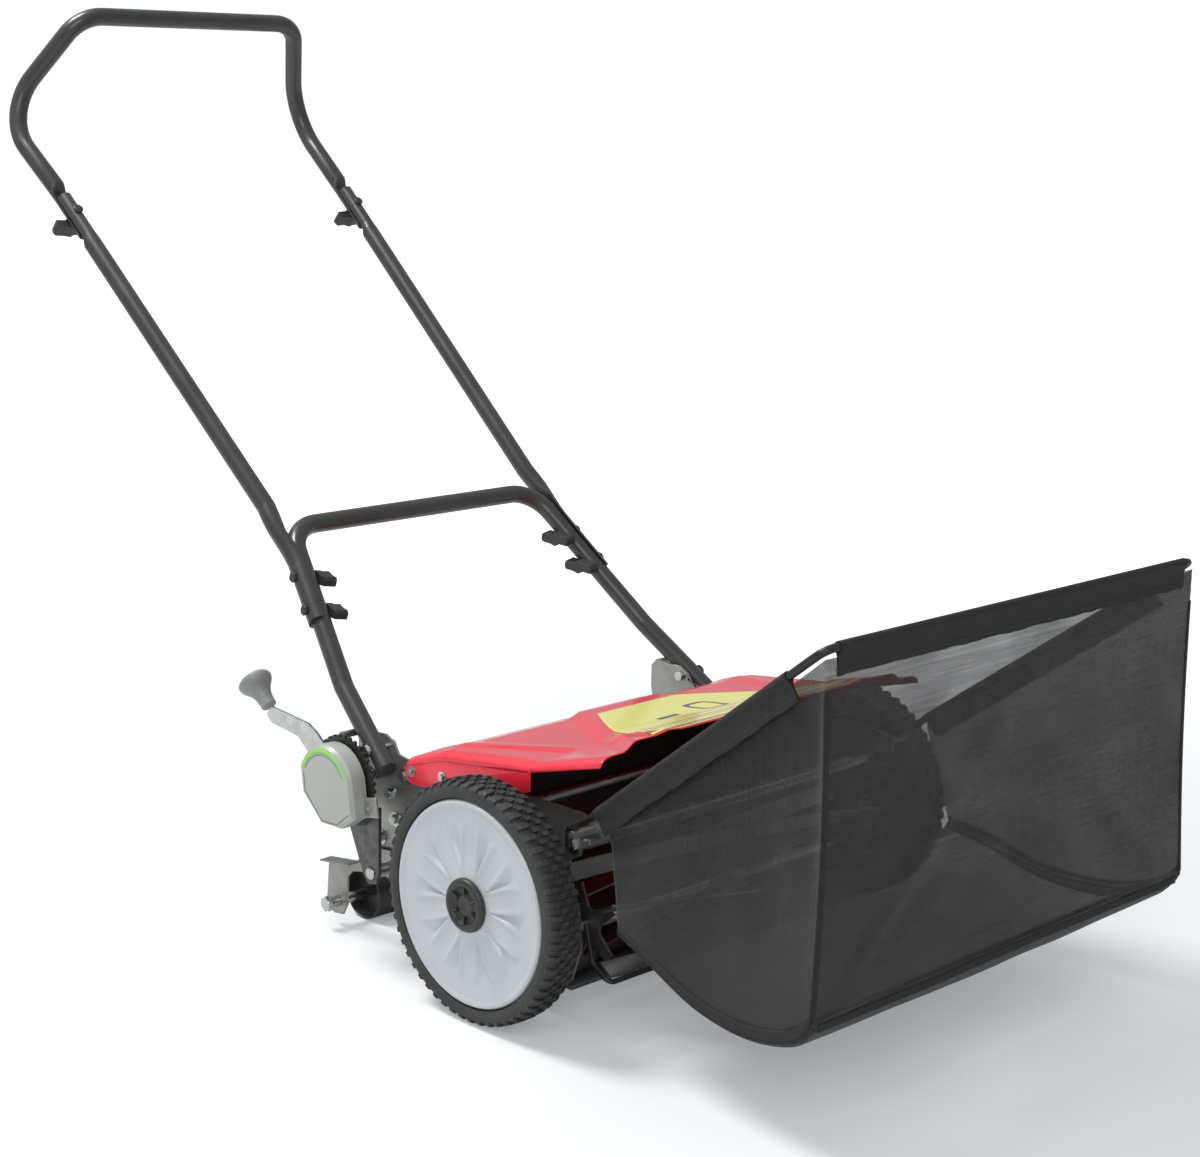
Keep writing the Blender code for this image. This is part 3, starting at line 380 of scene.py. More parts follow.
def label_material():
    """Glossy yellow print: its marks come from the label's own map, across and along the fan."""
    made, tree, shader = new_material("LabelFilm", Coat_Weight=0.6, Coat_Roughness=0.1)
    place = put(tree, "ShaderNodeUVMap", {"uv_map": "fan"}).outputs["UV"]
    split = put(tree, "ShaderNodeSeparateXYZ", Vector=place)
    across, along = split.outputs["X"], split.outputs["Y"]

    def band(value, centre, half, soft):
        """1 within half of centre, fading out over soft."""
        away = maths(tree, "ABSOLUTE", maths(tree, "SUBTRACT", value, centre))
        return put(tree, "ShaderNodeMapRange", Value=away, From_Min=half + soft, From_Max=half,
                   To_Min=0.0, To_Max=1.0).outputs["Result"]

    def fourth_power(value, centre, half):
        away = maths(tree, "ABSOLUTE", maths(tree, "DIVIDE", maths(tree, "SUBTRACT", value, centre), half))
        return maths(tree, "POWER", away, 4.0)

    dark_bar = maths(tree, "MULTIPLY", band(along, 0.46, 0.020, 0.006), band(across, -0.34, 0.13, 0.008))
    square = maths(tree, "ADD", fourth_power(across, 0.22, 0.15), fourth_power(along, 0.42, 0.13))
    marks = maths(tree, "MAXIMUM", dark_bar, band(square, 0.62, 0.34, 0.05))
    warm_bar = maths(tree, "MULTIPLY", band(along, 0.60, 0.016, 0.006), band(across, -0.05, 0.42, 0.01))
    thin_lines = maths(tree, "MAXIMUM", band(along, 0.79, 0.008, 0.004), band(along, 0.93, 0.035, 0.006))
    lines = maths(tree, "MAXIMUM", band(along, 0.72, 0.012, 0.005), thin_lines)
    print_patch = noise_over(tree, object_place(tree), 60.0, 3.0)
    colour = mixed(tree, print_patch, (0.95, 0.90, 0.20, 1), (0.90, 0.93, 0.26, 1))
    for mask, ink in ((lines, (0.50, 0.16, 0.06, 1)), (warm_bar, (0.80, 0.36, 0.05, 1)),
                      (marks, (0.035, 0.04, 0.045, 1))):
        colour = mixed(tree, mask, colour, ink)
    tree.links.new(colour, shader.inputs["Base Color"])
    rough = put(tree, "ShaderNodeMapRange", Value=print_patch, To_Min=0.28, To_Max=0.42)
    tree.links.new(rough.outputs["Result"], shader.inputs["Roughness"])
    return made


LABEL_REAR, LABEL_FRONT, LABEL_LIFT = 0.074, -0.118, 0.00035
label_rows = []
for j in range(49):
    y = LABEL_REAR + (LABEL_FRONT - LABEL_REAR) * j / 48
    bow = 0.012 * math.sin(math.pi * j / 48)
    half = 0.060 + 0.58 * (LABEL_REAR - y) + bow
    columns = [half * (i / 30 - 1) for i in range(61)]
    label_rows.append([(x, y, deck_height(x, y) + LABEL_LIFT) for x in columns])
label_mesh = grid_mesh(label_rows)
fan_map = label_mesh.loops.layers.uv.new("fan")
for face in label_mesh.faces:
    for corner in face.loops:
        place = corner.vert.co
        corner[fan_map].uv = (place.x / 0.12, (LABEL_REAR - place.y) / (LABEL_REAR - LABEL_FRONT))
label = show("deck_label", settle(label_mesh), label_material(), "chassis")
thicken(label, 0.0002, 1.0)

# Screws: zinc plated hex heads on washers, and a few cross-head screws through the deck's
# skirts, drawn here as small hex heads too. Each one stands on a point of a marker mesh that says which way it
# faces.


def growing_tree(name, *sizes):
    """A Geometry Nodes tree that takes geometry, named sizes and a material, and gives geometry."""
    return node_group("GeometryNodeTree", name,
                      [("Geometry", "Geometry"), *sizes, ("Material", "Material")], [("Geometry", "Geometry")])


def stood_on_points(tree, given, instance):
    """The instance on every point, turned to face the point's way."""
    facing = put(tree, "GeometryNodeInputNamedAttribute", {"data_type": "FLOAT_VECTOR"}, Name="facing")
    aimed = put(tree, "FunctionNodeAlignRotationToVector", {"axis": "Z"},
                Vector=facing.outputs["Attribute"])
    return put(tree, "GeometryNodeInstanceOnPoints", Points=given.outputs["Geometry"], Instance=instance,
               Rotation=aimed.outputs[0]).outputs[0]


def end_tree(tree, given, out, instances):
    """Make the instances real, give them the material and send them out."""
    real = put(tree, "GeometryNodeRealizeInstances", Geometry=instances)
    coated = put(tree, "GeometryNodeSetMaterial", Geometry=real.outputs[0],
                 Material=given.outputs["Material"])
    tree.links.new(coated.outputs[0], out.inputs["Geometry"])
    return tree


def screw_head_tree():
    """Geometry Nodes: a washer and a hex head on every point, turned to face the point's way."""
    tree, given, out = growing_tree(
        "ScrewHeads", ("Head Radius", "Float", 0.0058), ("Head Height", "Float", 0.0042),
        ("Washer Radius", "Float", 0.0082), ("Washer Height", "Float", 0.0012))
    value = given.outputs
    join_up = tree.nodes.new("GeometryNodeJoinGeometry")

    def disc(sides, radius, height, lift):
        solid = put(tree, "GeometryNodeMeshCylinder", Vertices=sides, Radius=radius, Depth=height)
        up = put(tree, "ShaderNodeCombineXYZ", Z=maths(tree, "MULTIPLY_ADD", height, 0.5, lift))
        raised = put(tree, "GeometryNodeTransform", Geometry=solid.outputs["Mesh"], Translation=up.outputs[0])
        tree.links.new(raised.outputs[0], join_up.inputs[0])

    disc(28, value["Washer Radius"], value["Washer Height"], 0.0)
    disc(6, value["Head Radius"], value["Head Height"], value["Washer Height"])
    crown_radius = maths(tree, "MULTIPLY", value["Head Radius"], 0.82)
    disc(28, crown_radius, maths(tree, "ADD", value["Head Height"], 0.0004), value["Washer Height"])
    return end_tree(tree, given, out, stood_on_points(tree, given, join_up.outputs[0]))


def grown(name, mesh, tree, material, body, slot=None, **values):
    """Run a Geometry Nodes tree on a marker mesh and keep its result as a plain piece."""
    data = bpy.data.meshes.new(name + "_marks")
    mesh.to_mesh(data)
    mesh.free()
    marks = new_object(name + "_marks", data)
    grower = marks.modifiers.new("grown", "NODES")
    grower.node_group = tree
    sockets = {item.name: item.identifier for item in tree.interface.items_tree if item.in_out == "INPUT"}
    grower[sockets["Material"]] = material
    for key, value in values.items():
        grower[sockets[key.replace("_", " ")]] = value
    seen = marks.evaluated_get(bpy.context.evaluated_depsgraph_get())
    made_data = bpy.data.meshes.new_from_object(seen)
    marks.modifiers.remove(grower)
    bpy.data.objects.remove(marks)
    made_data.name = name
    return riding(name, made_data, body)


def facing_points(places):
    """A bmesh of loose points, each with the direction it faces, from (point, direction) pairs."""
    mesh = bmesh.new()
    facing = mesh.verts.layers.float_vector.new("facing")
    for point, direction in places:
        mark = mesh.verts.new(point)
        mark[facing] = direction
    return mesh


SCREW_HEADS = screw_head_tree()
ZINC = finish("ZincPlate", (0.62, 0.66, 0.66), (0.50, 0.52, 0.47), patches=(0.012, 0.7),
              rough=(0.26, 0.25), grain=(0.0012, 0.12), metallic=1.0)


def screws(name, marks, body="chassis", head=(0.0058, 0.0042), washer=(0.0082, 0.0012)):
    """Zinc plated heads on marked points, with the radius and height of each head and washer."""
    grown(name, marks, SCREW_HEADS, ZINC, body, slot="zinc", Head_Radius=head[0], Head_Height=head[1],
          Washer_Radius=washer[0], Washer_Height=washer[1])


PLATE_FACE = 0.2316
plate_bolts = [(0.258, 0.114), (0.232, 0.122), (0.208, 0.148), (0.150, 0.150), (-0.070, 0.190),
               (0.216, 0.176), (0.192, 0.200)]
bolt_points = [((sign * PLATE_FACE, y, z), (sign, 0, 0)) for y, z in plate_bolts for sign in (-1, 1)]
screws("plate_bolts", settle(facing_points(bolt_points)))
skirt_points = [((sign * (DECK_SKIRT + 0.0001), y, z), (sign, 0, 0))
                for sign in (-1, 1) for y, z in ((0.160, 0.217), (0.110, 0.222))]
screws("deck_screws", settle(facing_points(skirt_points)), head=(0.0036, 0.0022), washer=(0.0062, 0.0008))

# Axles: a turned shoulder on each side plate that the wheel runs on, with a nut inside the
# plate. They are bright steel, and only the nut's end can be seen through the hub.


def reach(node):
    """How far a node's inner and outer ends lie from the mower's middle, along the axle."""
    low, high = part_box(node)
    return sorted((abs(low.x), abs(high.x)))


for side, sign in SIDES.items():
    eased("axle_" + side, 0.0003, TURNED_STEEL, "chassis")
    nut_x = sign * (reach("axle_" + side)[0] + 0.0065)
    screws("axle_nut_" + side, facing_points([((nut_x, axle_y, axle_z), (-sign, 0, 0))]),
           head=(0.0105, 0.0070), washer=(0.0125, 0.0005))

# Gear covers: moulded black discs inside the wheels that keep grass out of the ring gear,
# each with a raised lip round it and a gap where the reel's bearing comes through.

BLACK_MOULDING = finish("BlackMoulding", (0.028, 0.030, 0.029), (0.044, 0.046, 0.045),
                        patches=(0.05, 0.6), rough=(0.42, 0.25), grain=(0.0009, 0.25))
for side, sign in SIDES.items():
    eased("gear_cover_" + side, 0.0005, BLACK_MOULDING, "chassis")
    lip = [(sign * 0.2612, 0.0930), (sign * 0.2612, 0.0975), (sign * 0.2602, 0.0985),
           (sign * 0.2602, 0.0940)]
    show("gear_cover_lip_" + side, turned(lip, (axle_y, axle_z), 96), BLACK_MOULDING, "chassis")

# Reel bearings: cast housings bolted outside the plates. Each one is oiled grey iron with a
# turned face and a felt ring round the shaft.

CAST_IRON = finish("OiledIron", (0.16, 0.155, 0.15), (0.09, 0.085, 0.08), patches=(0.012, 0.7),
                   rough=(0.46, 0.3), grain=(0.0008, 0.5), metallic=0.75)
for side in SIDES:
    eased("reel_bearing_" + side, 0.0006, CAST_IRON, "chassis", turn=1)

# Catcher support: one black painted wire in front of the knife, bent up at both ends to
# hold the rear edge of the bag. It is drawn as a round rod along a run of rounded corners.


def rounded(corners, steps=6):
    """Points along a run of (point, radius) corners, with an arc at each corner that has one."""
    points = []
    for i, (corner, radius) in enumerate(corners):
        if radius == 0:
            points.append(corner.copy())
            continue
        back = (corners[i - 1][0] - corner).normalized()
        ahead = (corners[i + 1][0] - corner).normalized()
        half = back.angle(ahead) / 2
        centre = corner + (back + ahead).normalized() * radius / math.sin(half)
        start = corner + back * radius / math.tan(half) - centre
        axis = back.cross(start).normalized()
        for k in range(steps + 1):
            points.append(centre + Matrix.Rotation((math.pi - 2 * half) * k / steps, 3, axis) @ start)
    return points


def frames(points, up):
    """A tangent and two normals at each point. The first normal starts along up and never twists."""
    found = []
    normal = Vector(up)
    for i, point in enumerate(points):
        tangent = (points[min(i + 1, len(points) - 1)] - points[max(i - 1, 0)]).normalized()
        normal = (normal - tangent * normal.dot(tangent)).normalized()
        found.append((tangent, normal.copy(), tangent.cross(normal)))
    return found


def loft(mesh, rings):
    """Quads between each closed ring of points and the next."""
    for ring, following in zip(rings, rings[1:]):
        for i in range(len(ring)):
            mesh.faces.new((ring[i - 1], ring[i], following[i], following[i - 1]))


def closed_loft(mesh, rings):
    """A loft with both of its ends filled in."""
    loft(mesh, rings)
    mesh.faces.new(rings[0])
    mesh.faces.new(rings[-1])


def rod(points, radius, sides=14, up=(0, 0, 1)):
    """A solid rod along points, with its ends rounded over."""
    mesh = bmesh.new()
    places = frames(points, up)
    first_way, last_way = places[0][0] * radius * 0.25, places[-1][0] * radius * 0.25
    sections = [(points[0], places[0], 0.72), (points[0] + first_way, places[0], 1.0)]
    sections += [(point, place, 1.0) for point, place in zip(points[1:-1], places[1:-1])]
    sections += [(points[-1] - last_way, places[-1], 1.0), (points[-1], places[-1], 0.72)]
    turns = [math.tau * k / sides for k in range(sides)]
    closed_loft(mesh, [[mesh.verts.new(point + radius * size * (math.cos(a) * normal + math.sin(a) * across))
                        for a in turns] for point, (_, normal, across), size in sections])
    return mesh


def flipped(point):
    """The same place on the mower's other side."""
    return Vector((-point.x, point.y, point.z))


def both_sides(half):
    """A run of (point, radius) corners on the left side carried on over to the right side."""
    return [*half, *[(flipped(point), radius) for point, radius in reversed(half)]]


def corners_at(*places):
    """(point, radius) corners from rows of x, y, z and the radius."""
    return [(Vector(place), radius) for *place, radius in places]


BLACK_WIRE = finish("BlackWire", (0.020, 0.021, 0.021), (0.050, 0.048, 0.044), patches=(0.02, 0.5),
                    rough=(0.30, 0.25), grain=(0.0010, 0.3), metallic=0.3)
support = both_sides(corners_at((0.2252, -0.0830, 0.1090, 0), (0.2252, -0.0940, 0.0690, 0.008),
                                (0.2252, -0.1180, 0.0560, 0.008)))
show("catcher_support_wire", settle(rod(rounded(support), 0.0028, 12, up=(0, 1, 0))), BLACK_WIRE,
     "chassis", ["catcher_support"], sharp=50)

# Cutting reel: a steel shaft with three stamped stars, and five bars wound round them. The
# bars are ground on their outer edges, which stay bright while their sides go dull, though here each bar has
# one steel finish all over.

reel_y, reel_z = middle("reel_shaft")
low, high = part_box("reel_shaft")
shaft_r = (high.z - low.z) / 2
turned_bar("reel_shaft_bar", "reel_shaft", TURNED_STEEL, "reel", shaft_r, shaft_r * 0.8, 0.0014, 32)
REEL_R, REEL_ROOT, REEL_HALF, REEL_TWIST, BLADES = 0.065, 0.0460, 0.216, math.radians(62), 5
bar_section = ((REEL_ROOT, -0.0014), (REEL_R - 0.0012, -0.0014), (REEL_R, -0.0008), (REEL_R, 0.0014),
               (REEL_ROOT, 0.0014))
for blade in range(BLADES):
    mesh = bmesh.new()
    rings = []
    for i in range(73):
        part = i / 72
        angle = math.tau * blade / BLADES + REEL_TWIST * part
        out = Vector((0, math.cos(angle), math.sin(angle)))
        across = Vector((0, -math.sin(angle), math.cos(angle)))
        centre = Vector((REEL_HALF * (2 * part - 1), reel_y, reel_z))
        rings.append([mesh.verts.new(centre + out * r + across * t) for r, t in bar_section])
    closed_loft(mesh, rings)
    show(f"reel_bar_{blade + 1}", mesh, BLADE_STEEL, "reel", [f"reel_blade_{blade + 1}"])
for word in ("right", "middle", "left"):
    eased("reel_spider_" + word, 0.0003, CAST_IRON, "reel")
for side in SIDES:
    eased("pinion_" + side, 0.0002, CAST_IRON, "reel")

# Rear roller: a moulded black tube with a deep recess in each end and faint mould lines
# round it. It turns on a steel rod that is nutted between the two arms.

roller_y, roller_z = middle("roller")
low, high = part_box("roller")
ROLLER_R = (high.z - low.z) / 2
half = [(0.1750, 0.0272), (0.1790, 0.0262), (0.1790, 0.0064), (0.1860, 0.0064), (0.1860, 0.0262),
        (0.1880, 0.0272), (high.x - 0.0008, 0.0274), (high.x, 0.0280), (high.x, ROLLER_R - 0.0010),
        (high.x - 0.0010, ROLLER_R)]
for ridge in (0.150, 0.075):
    half += [(ridge + 0.0016, ROLLER_R), (ridge + 0.0008, ROLLER_R - 0.0004),
             (ridge - 0.0008, ROLLER_R - 0.0004), (ridge - 0.0016, ROLLER_R)]
show("roller_tube", turned(half + [(-x, r) for x, r in reversed(half)], (roller_y, roller_z), 64),
     BLACK_MOULDING, "rear_roller", ["roller"])
turned_bar("roller_axle_rod", "roller_axle", ZINC, "height_frame", 0.0060, 0.0050, 0.001)
nut_x = reach("roller_axle")[1] - 0.0052
screws("roller_nuts", facing_points([((sign * nut_x, roller_y, roller_z), (sign, 0, 0)) for sign in (-1, 1)]),
       "height_frame", head=(0.0088, 0.0038), washer=(0.0092, 0.0008))

# Roller arms: grey steel brackets with a folded flange, one inside each wheel, both welded
# to a cross shaft. The shaft's right end carries the toothed sector that the lever drives.

for side in SIDES:
    eased("roller_arm_" + side, 0.0004, PLATE_STEEL, "height_frame")
turned_bar("arm_shaft_rod", "arm_shaft", TURNED_STEEL, "height_frame", 0.0070, 0.0058, 0.0012)
eased("height_sector", 0.0003, CAST_IRON, "height_frame")

# Height lever: a folded strap of zinc plated steel with a boss, its small pinion, and a
# flared grey grip pushed onto its end.

eased("height_lever", 0.0005, ZINC, "lever")
eased("lever_pinion", 0.0002, CAST_IRON, "lever")
GRIP_GREY = finish("GripGrey", (0.27, 0.28, 0.28), (0.32, 0.33, 0.33), patches=(0.02, 0.6),
                   rough=(0.40, 0.2), grain=(0.0010, 0.25))


def aim(mesh, place, axis):
    """Move a mesh drawn along +X from the origin so that it starts at place and runs along axis."""
    turn = Vector(axis).to_track_quat("X", "Z").to_matrix().to_4x4()
    mesh.transform(Matrix.Translation(place) @ turn)
    return mesh


grip = [(0, 0), (0, 0.0080), (0.0007, 0.0088), (0.006, 0.0089), (0.012, 0.0094), (0.017, 0.0106),
        (0.022, 0.0130), (0.026, 0.0160), (0.0295, 0.0184), (0.0325, 0.0195), (0.0350, 0.0198),
        (0.0372, 0.0190), (0.0392, 0.0168), (0.0408, 0.0125), (0.0417, 0.0065), (0.0420, 0)]
grip_place = Vector((-0.2762, 0.3740 + axle_y, 0.2480))
show("lever_grip", aim(turned(grip, (0, 0), 40), grip_place, (0, 0.76, 0.65)), GRIP_GREY, "lever",
     ["lever_knob"])

# Height adjuster: the stud that the lever turns on, a black notched disc, and a light grey
# moulded housing with a printed border and a green arc over its top.

lever_y, lever_z = middle("lever_stud")
eased("lever_stud", 0.0003, ZINC, "chassis")
eased("adjuster_disc", 0.0003, BLACK_MOULDING, "chassis")
HOUSING_GREY = finish("HousingGrey", (0.47, 0.50, 0.46), (0.42, 0.45, 0.42), patches=(0.03, 0.5),
                      rough=(0.38, 0.15), grain=(0.0011, 0.12), coat=0.15)
eased("adjuster_cover", 0.0016, HOUSING_GREY, "chassis", segments=4)
GREEN_INK = finish("GreenInk", (0.32, 0.80, 0.09), (0.26, 0.72, 0.07), patches=(0.01, 0.5),
                   rough=(0.4, 0.1), grain=(0.002, 0.05), coat=0.3)
LINE_INK = finish("DarkInk", (0.13, 0.14, 0.13), (0.17, 0.18, 0.17), patches=(0.01, 0.5),
                  rough=(0.45, 0.1), grain=(0.002, 0.05), coat=0.2)
HOUSING_FACE = -0.3011


def printed(name, rows, material):
    """A thin printed band on the housing's face, through two rows of (y, z) points."""
    mesh = grid_mesh([[(HOUSING_FACE, y, z) for y, z in row] for row in rows])
    thicken(show(name, mesh, material, "chassis"), 0.0002, 0.0)


def arc_round_lever(radius, from_deg, to_deg):
    """Points on a circle about the lever's stud."""
    turns = [math.radians(from_deg + (to_deg - from_deg) * i / 48) for i in range(49)]
    return [(lever_y + radius * math.cos(a), lever_z + radius * math.sin(a)) for a in turns]


printed("green_arc", [arc_round_lever(r, 22, 154) for r in (0.0366, 0.0410)], GREEN_INK)
printed("border_arc", [arc_round_lever(r, 24, 152) for r in (0.0345, 0.0351)], LINE_INK)
border = [(0.202, 0.168, 0.0006), (0.2225, 0.1520, 0.0003), (0.2485, 0.1510, -0.0003),
          (0.278, 0.1775, -0.0008), (0.280, 0.198, -0.0009)]
printed("border_line", [[(y + axle_y, z) for y, z, _ in border],
                        [(y + axle_y + inwards, z + 0.0009) for y, z, inwards in border]], LINE_INK)
tab = bmesh.new()
bmesh.ops.create_cube(tab, size=1.0, matrix=Matrix.Translation((-0.2815, 0.1960, 0.1745))
                      @ Matrix.Rotation(math.radians(-12), 4, "X")
                      @ Matrix.Diagonal((0.0030, 0.0380, 0.0220, 1)))
TAB_STEEL = finish("TabSteel", (0.42, 0.43, 0.41), (0.30, 0.31, 0.30), patches=(0.012, 0.6),
                   rough=(0.38, 0.2), grain=(0.0012, 0.1), metallic=0.6)
break_edges(show("adjuster_tab", settle(tab), TAB_STEEL, "chassis"), 0.0012, 4)
screws("tab_rivet", settle(facing_points([((-0.2829, 0.1930, 0.1745), (-1, 0, 0))])),
       head=(0.0030, 0.0014), washer=(0.0050, 0.0006))

# Wheels: a black rubber tyre with chunky blocks on a moulded drum with inner teeth, closed
# by a light grey disc pressed with pairs of ribs, and a black cap clipped over the axle.

RUBBER = finish("TyreRubber", (0.036, 0.038, 0.038), (0.074, 0.074, 0.071), patches=(0.03, 0.55),
                rough=(0.66, 0.3), grain=(0.0009, 0.5))
WHEEL_GREY = finish("WheelGrey", (0.60, 0.64, 0.665), (0.53, 0.565, 0.59), patches=(0.05, 0.6),
                    rough=(0.40, 0.2), grain=(0.0012, 0.08), metallic=0.15, coat=0.15)


def copies_round_axle_tree():
    """Geometry Nodes: even copies of one mesh, turned about a line along X through the axle."""
    tree, given, out = growing_tree("CopiesRoundAxle", ("Copies", "Int", 60), ("Axle", "Vector"))
    spots = put(tree, "GeometryNodePoints", Count=given.outputs["Copies"], Position=given.outputs["Axle"])
    number = tree.nodes.new("GeometryNodeInputIndex")
    pitch = maths(tree, "DIVIDE", math.tau, given.outputs["Copies"])
    angles = put(tree, "ShaderNodeCombineXYZ", X=maths(tree, "MULTIPLY", number.outputs[0], pitch))
    placed = put(tree, "GeometryNodeInstanceOnPoints", Points=spots.outputs[0],
                 Instance=given.outputs["Geometry"], Rotation=angles.outputs[0])
    return end_tree(tree, given, out, placed.outputs[0])


COPIES_ROUND_AXLE = copies_round_axle_tree()
TREAD_BLOCKS, TYRE_R, RIB_PAIRS, DISC_STEPS = 56, 0.127, 10, 288
BLOCKS = [  # x range, turn range, and the top radius at each end of x
    (0.2835, 0.2902, 0.06, 0.50, (TYRE_R - 0.0002, TYRE_R)),
    (0.2918, 0.2985, 0.52, 0.96, (TYRE_R, TYRE_R - 0.0002)),
    (0.2748, 0.2822, 0.50, 0.98, (0.1256, TYRE_R - 0.0005)),
    (0.2998, 0.3072, 0.02, 0.50, (TYRE_R - 0.0005, 0.1256)),
    (0.3070, 0.3112, 0.10, 0.56, (0.1258, 0.1226)),
    (0.2708, 0.2750, 0.42, 0.88, (0.1226, 0.1258))]


def tread_block(mesh, x_from, x_to, turn_from, turn_to, base, tops):
    """A tapered block on the tyre. turns are parts of one pitch, and tops are its two heights."""
    pitch = math.tau / TREAD_BLOCKS
    middle_turn = (turn_from + turn_to) / 2
    corners = []
    for x, top, inset in ((x_from, tops[0], 0.0004), (x_to, tops[1], -0.0004)):
        for turn in (turn_from, turn_to):
            for radius, pull, shift in ((base, 0.0, 0.0), (top, 0.18, inset)):
                a = (turn + (middle_turn - turn) * pull) * pitch
                corners.append(mesh.verts.new((x + shift, radius * math.sin(a), radius * math.cos(a))))
    a0, a1, b0, b1, c0, c1, d0, d1 = corners
    for loop in ((a0, a1, b1, b0), (c0, d0, d1, c1), (a0, c0, c1, a1), (b0, b1, d1, d0),
                 (a1, c1, d1, b1), (a0, b0, d0, c0)):
        mesh.faces.new(loop)


def disc_face(radius, a):
    """How far out the disc's face lies at a radius and an angle: a dished web with pairs of ribs."""
    phase = (a * RIB_PAIRS / math.tau) % 1.0
    along = min(max((radius - 0.031) / 0.052, 0), 1)
    spread = 0.06 + 0.21 * along
    near = min(abs(phase - crest) for crest in (0.5 + spread, 0.5 - spread, 1.5 - spread, spread - 0.5))
    ridge = math.exp(-(near / (0.10 - 0.025 * along)) ** 2) * math.sin(math.pi * along) ** 0.6
    valley = math.exp(-((phase - 0.5) / (0.03 + 0.12 * along)) ** 2) * math.sin(math.pi * along)
    if radius < 0.030:
        web = 0.3104
    elif radius < 0.0980:
        web = 0.3100 - 0.0020 * math.sin(math.pi * (radius - 0.030) / 0.068) ** 0.7
    elif radius < 0.1040:
        web = 0.3095 + 0.0024 * min((radius - 0.0980) / 0.0045, 1)
    else:
        web = 0.3119 - 0.0060 * ((radius - 0.1040) / 0.0038) ** 3
    return min(web + 0.0023 * ridge - 0.0030 * valley, 0.3130)


disc_radii = [0.0122, 0.0150, 0.0200, 0.0260, 0.0290, 0.0310] + [0.0330 + 0.0016 * k for k in range(33)]
disc_radii += [0.0870, 0.0900, 0.0940, 0.0975, 0.0985, 0.0995, 0.1010, 0.1035, 0.1055, 0.1070, 0.1078]
cap = [(0.3108, 0), (0.3108, 0.0272), (0.3116, 0.0280), (0.3140, 0.0278), (0.3158, 0.0270),
       (0.3170, 0.0252), (0.3175, 0.0228), (0.3172, 0.0212), (0.3160, 0.0198), (0.3146, 0.0188),
       (0.3134, 0.0168), (0.3130, 0.0125), (0.3136, 0.0118), (0.3142, 0.0110), (0.3143, 0.0060),
       (0.3138, 0.0048), (0.3138, 0)]
RIB_HALF = 0.0016
cap_rib = [(0.3120, -RIB_HALF, 0.0120), (0.3159, -RIB_HALF, 0.0120), (0.3165, -RIB_HALF * 0.7, 0.0130),
           (0.3165, -RIB_HALF * 0.7, 0.0195), (0.3159, -RIB_HALF, 0.0205), (0.3120, -RIB_HALF, 0.0205)]
axle = (0.0, axle_y, axle_z)
for side, sign in SIDES.items():
    wheel_body = "wheel_" + side
    outer_x = reach("tyre_" + side)[1]
    carcass = [(0.2725, 0.1085), (0.2700, 0.1160), (0.2712, 0.1205), (0.2740, 0.1226), (0.2820, 0.1236),
               (0.2910, 0.1238), (0.3000, 0.1236), (0.3080, 0.1226), (0.3108, 0.1205), (outer_x, 0.1160),
               (0.3118, 0.1120), (0.3112, 0.1106), (0.3114, 0.1096), (0.3100, 0.1085)]
    show("tyre_band_" + side, turned([(sign * x, r) for x, r in carcass], axle[1:], 128), RUBBER,
         wheel_body, ["tyre_" + side], sharp=50)
    mesh = bmesh.new()
    for x_from, x_to, turn_from, turn_to, tops in BLOCKS:
        tread_block(mesh, sign * x_from, sign * x_to, turn_from, turn_to, 0.1190, tops)
    bmesh.ops.recalc_face_normals(mesh, faces=mesh.faces)
    grown("tyre_blocks_" + side, mesh, COPIES_ROUND_AXLE, RUBBER, wheel_body, slot="tyre",
          Copies=TREAD_BLOCKS, Axle=axle)

    eased("rim_" + side, 0.0002, BLACK_MOULDING, wheel_body)

    mesh = bmesh.new()
    turns = [math.tau * i / DISC_STEPS for i in range(DISC_STEPS)]
    loft(mesh, [[mesh.verts.new((sign * disc_face(radius, a), axle_y + radius * math.sin(a),
                                 axle_z + radius * math.cos(a))) for a in turns] for radius in disc_radii])
    disc = show("wheel_disc_" + side, mesh, WHEEL_GREY, wheel_body, ["hub_cover_" + side], sharp=50)
    outward = sum(face.normal.x for face in disc.data.polygons) * sign
    thicken(disc, 0.0022, -1.0 if outward > 0 else 1.0)

    show("hub_cap_shell_" + side, turned([(sign * x, r) for x, r in cap], axle[1:], 72),
         BLACK_MOULDING, wheel_body, ["hub_cap_" + side], sharp=50)
    mesh = bmesh.new()
    closed_loft(mesh, [[mesh.verts.new((sign * x, y * way, z)) for x, y, z in cap_rib] for way in (1, -1)])
    bmesh.ops.recalc_face_normals(mesh, faces=mesh.faces)
    grown("hub_cap_ribs_" + side, mesh, COPIES_ROUND_AXLE, BLACK_MOULDING, wheel_body,
          slot="black_plastic", Copies=6, Axle=axle)

# Handle tubes: 22 mm steel tube with a satin black powder coat. The lower one is a U bolted
# to the plates, a straight one on each side laps it, and the top one is a wide U. Where two
# tubes meet, one is pressed into a half shell that lies round the other.

TUBE_R, TUBE_WALL, TUBE_SIDES = 0.011, 0.0014, 32
LOWER_END = Vector((0.2525, 0.1986, 0.2106))
LOWER_KINK = Vector((0.235, 0.293, 0.279))
LOWER_CORNER = Vector((0.189, 0.451, 0.428))
MID_BEND = Vector((0.202, 0.477, 0.449))
JOINT = Vector((0.218, 0.8605, 0.776))
TOP_BEND = Vector((0.226, 0.988, 0.877))
TOP_CORNER = Vector((0.163, 0.902, 1.000))
LEG = (LOWER_CORNER - LOWER_KINK).normalized()
HUG = (Vector((1, 0, 0)) - LEG * LEG.x).normalized()
SHAFT = (JOINT - MID_BEND).normalized()
OVER = Vector((0, -SHAFT.z, SHAFT.y)).normalized()
NEST = 0.0133
CRESCENT = (NEST, NEST, 1.30)
HALF_SHELL = (0, 0.009, 1.43)
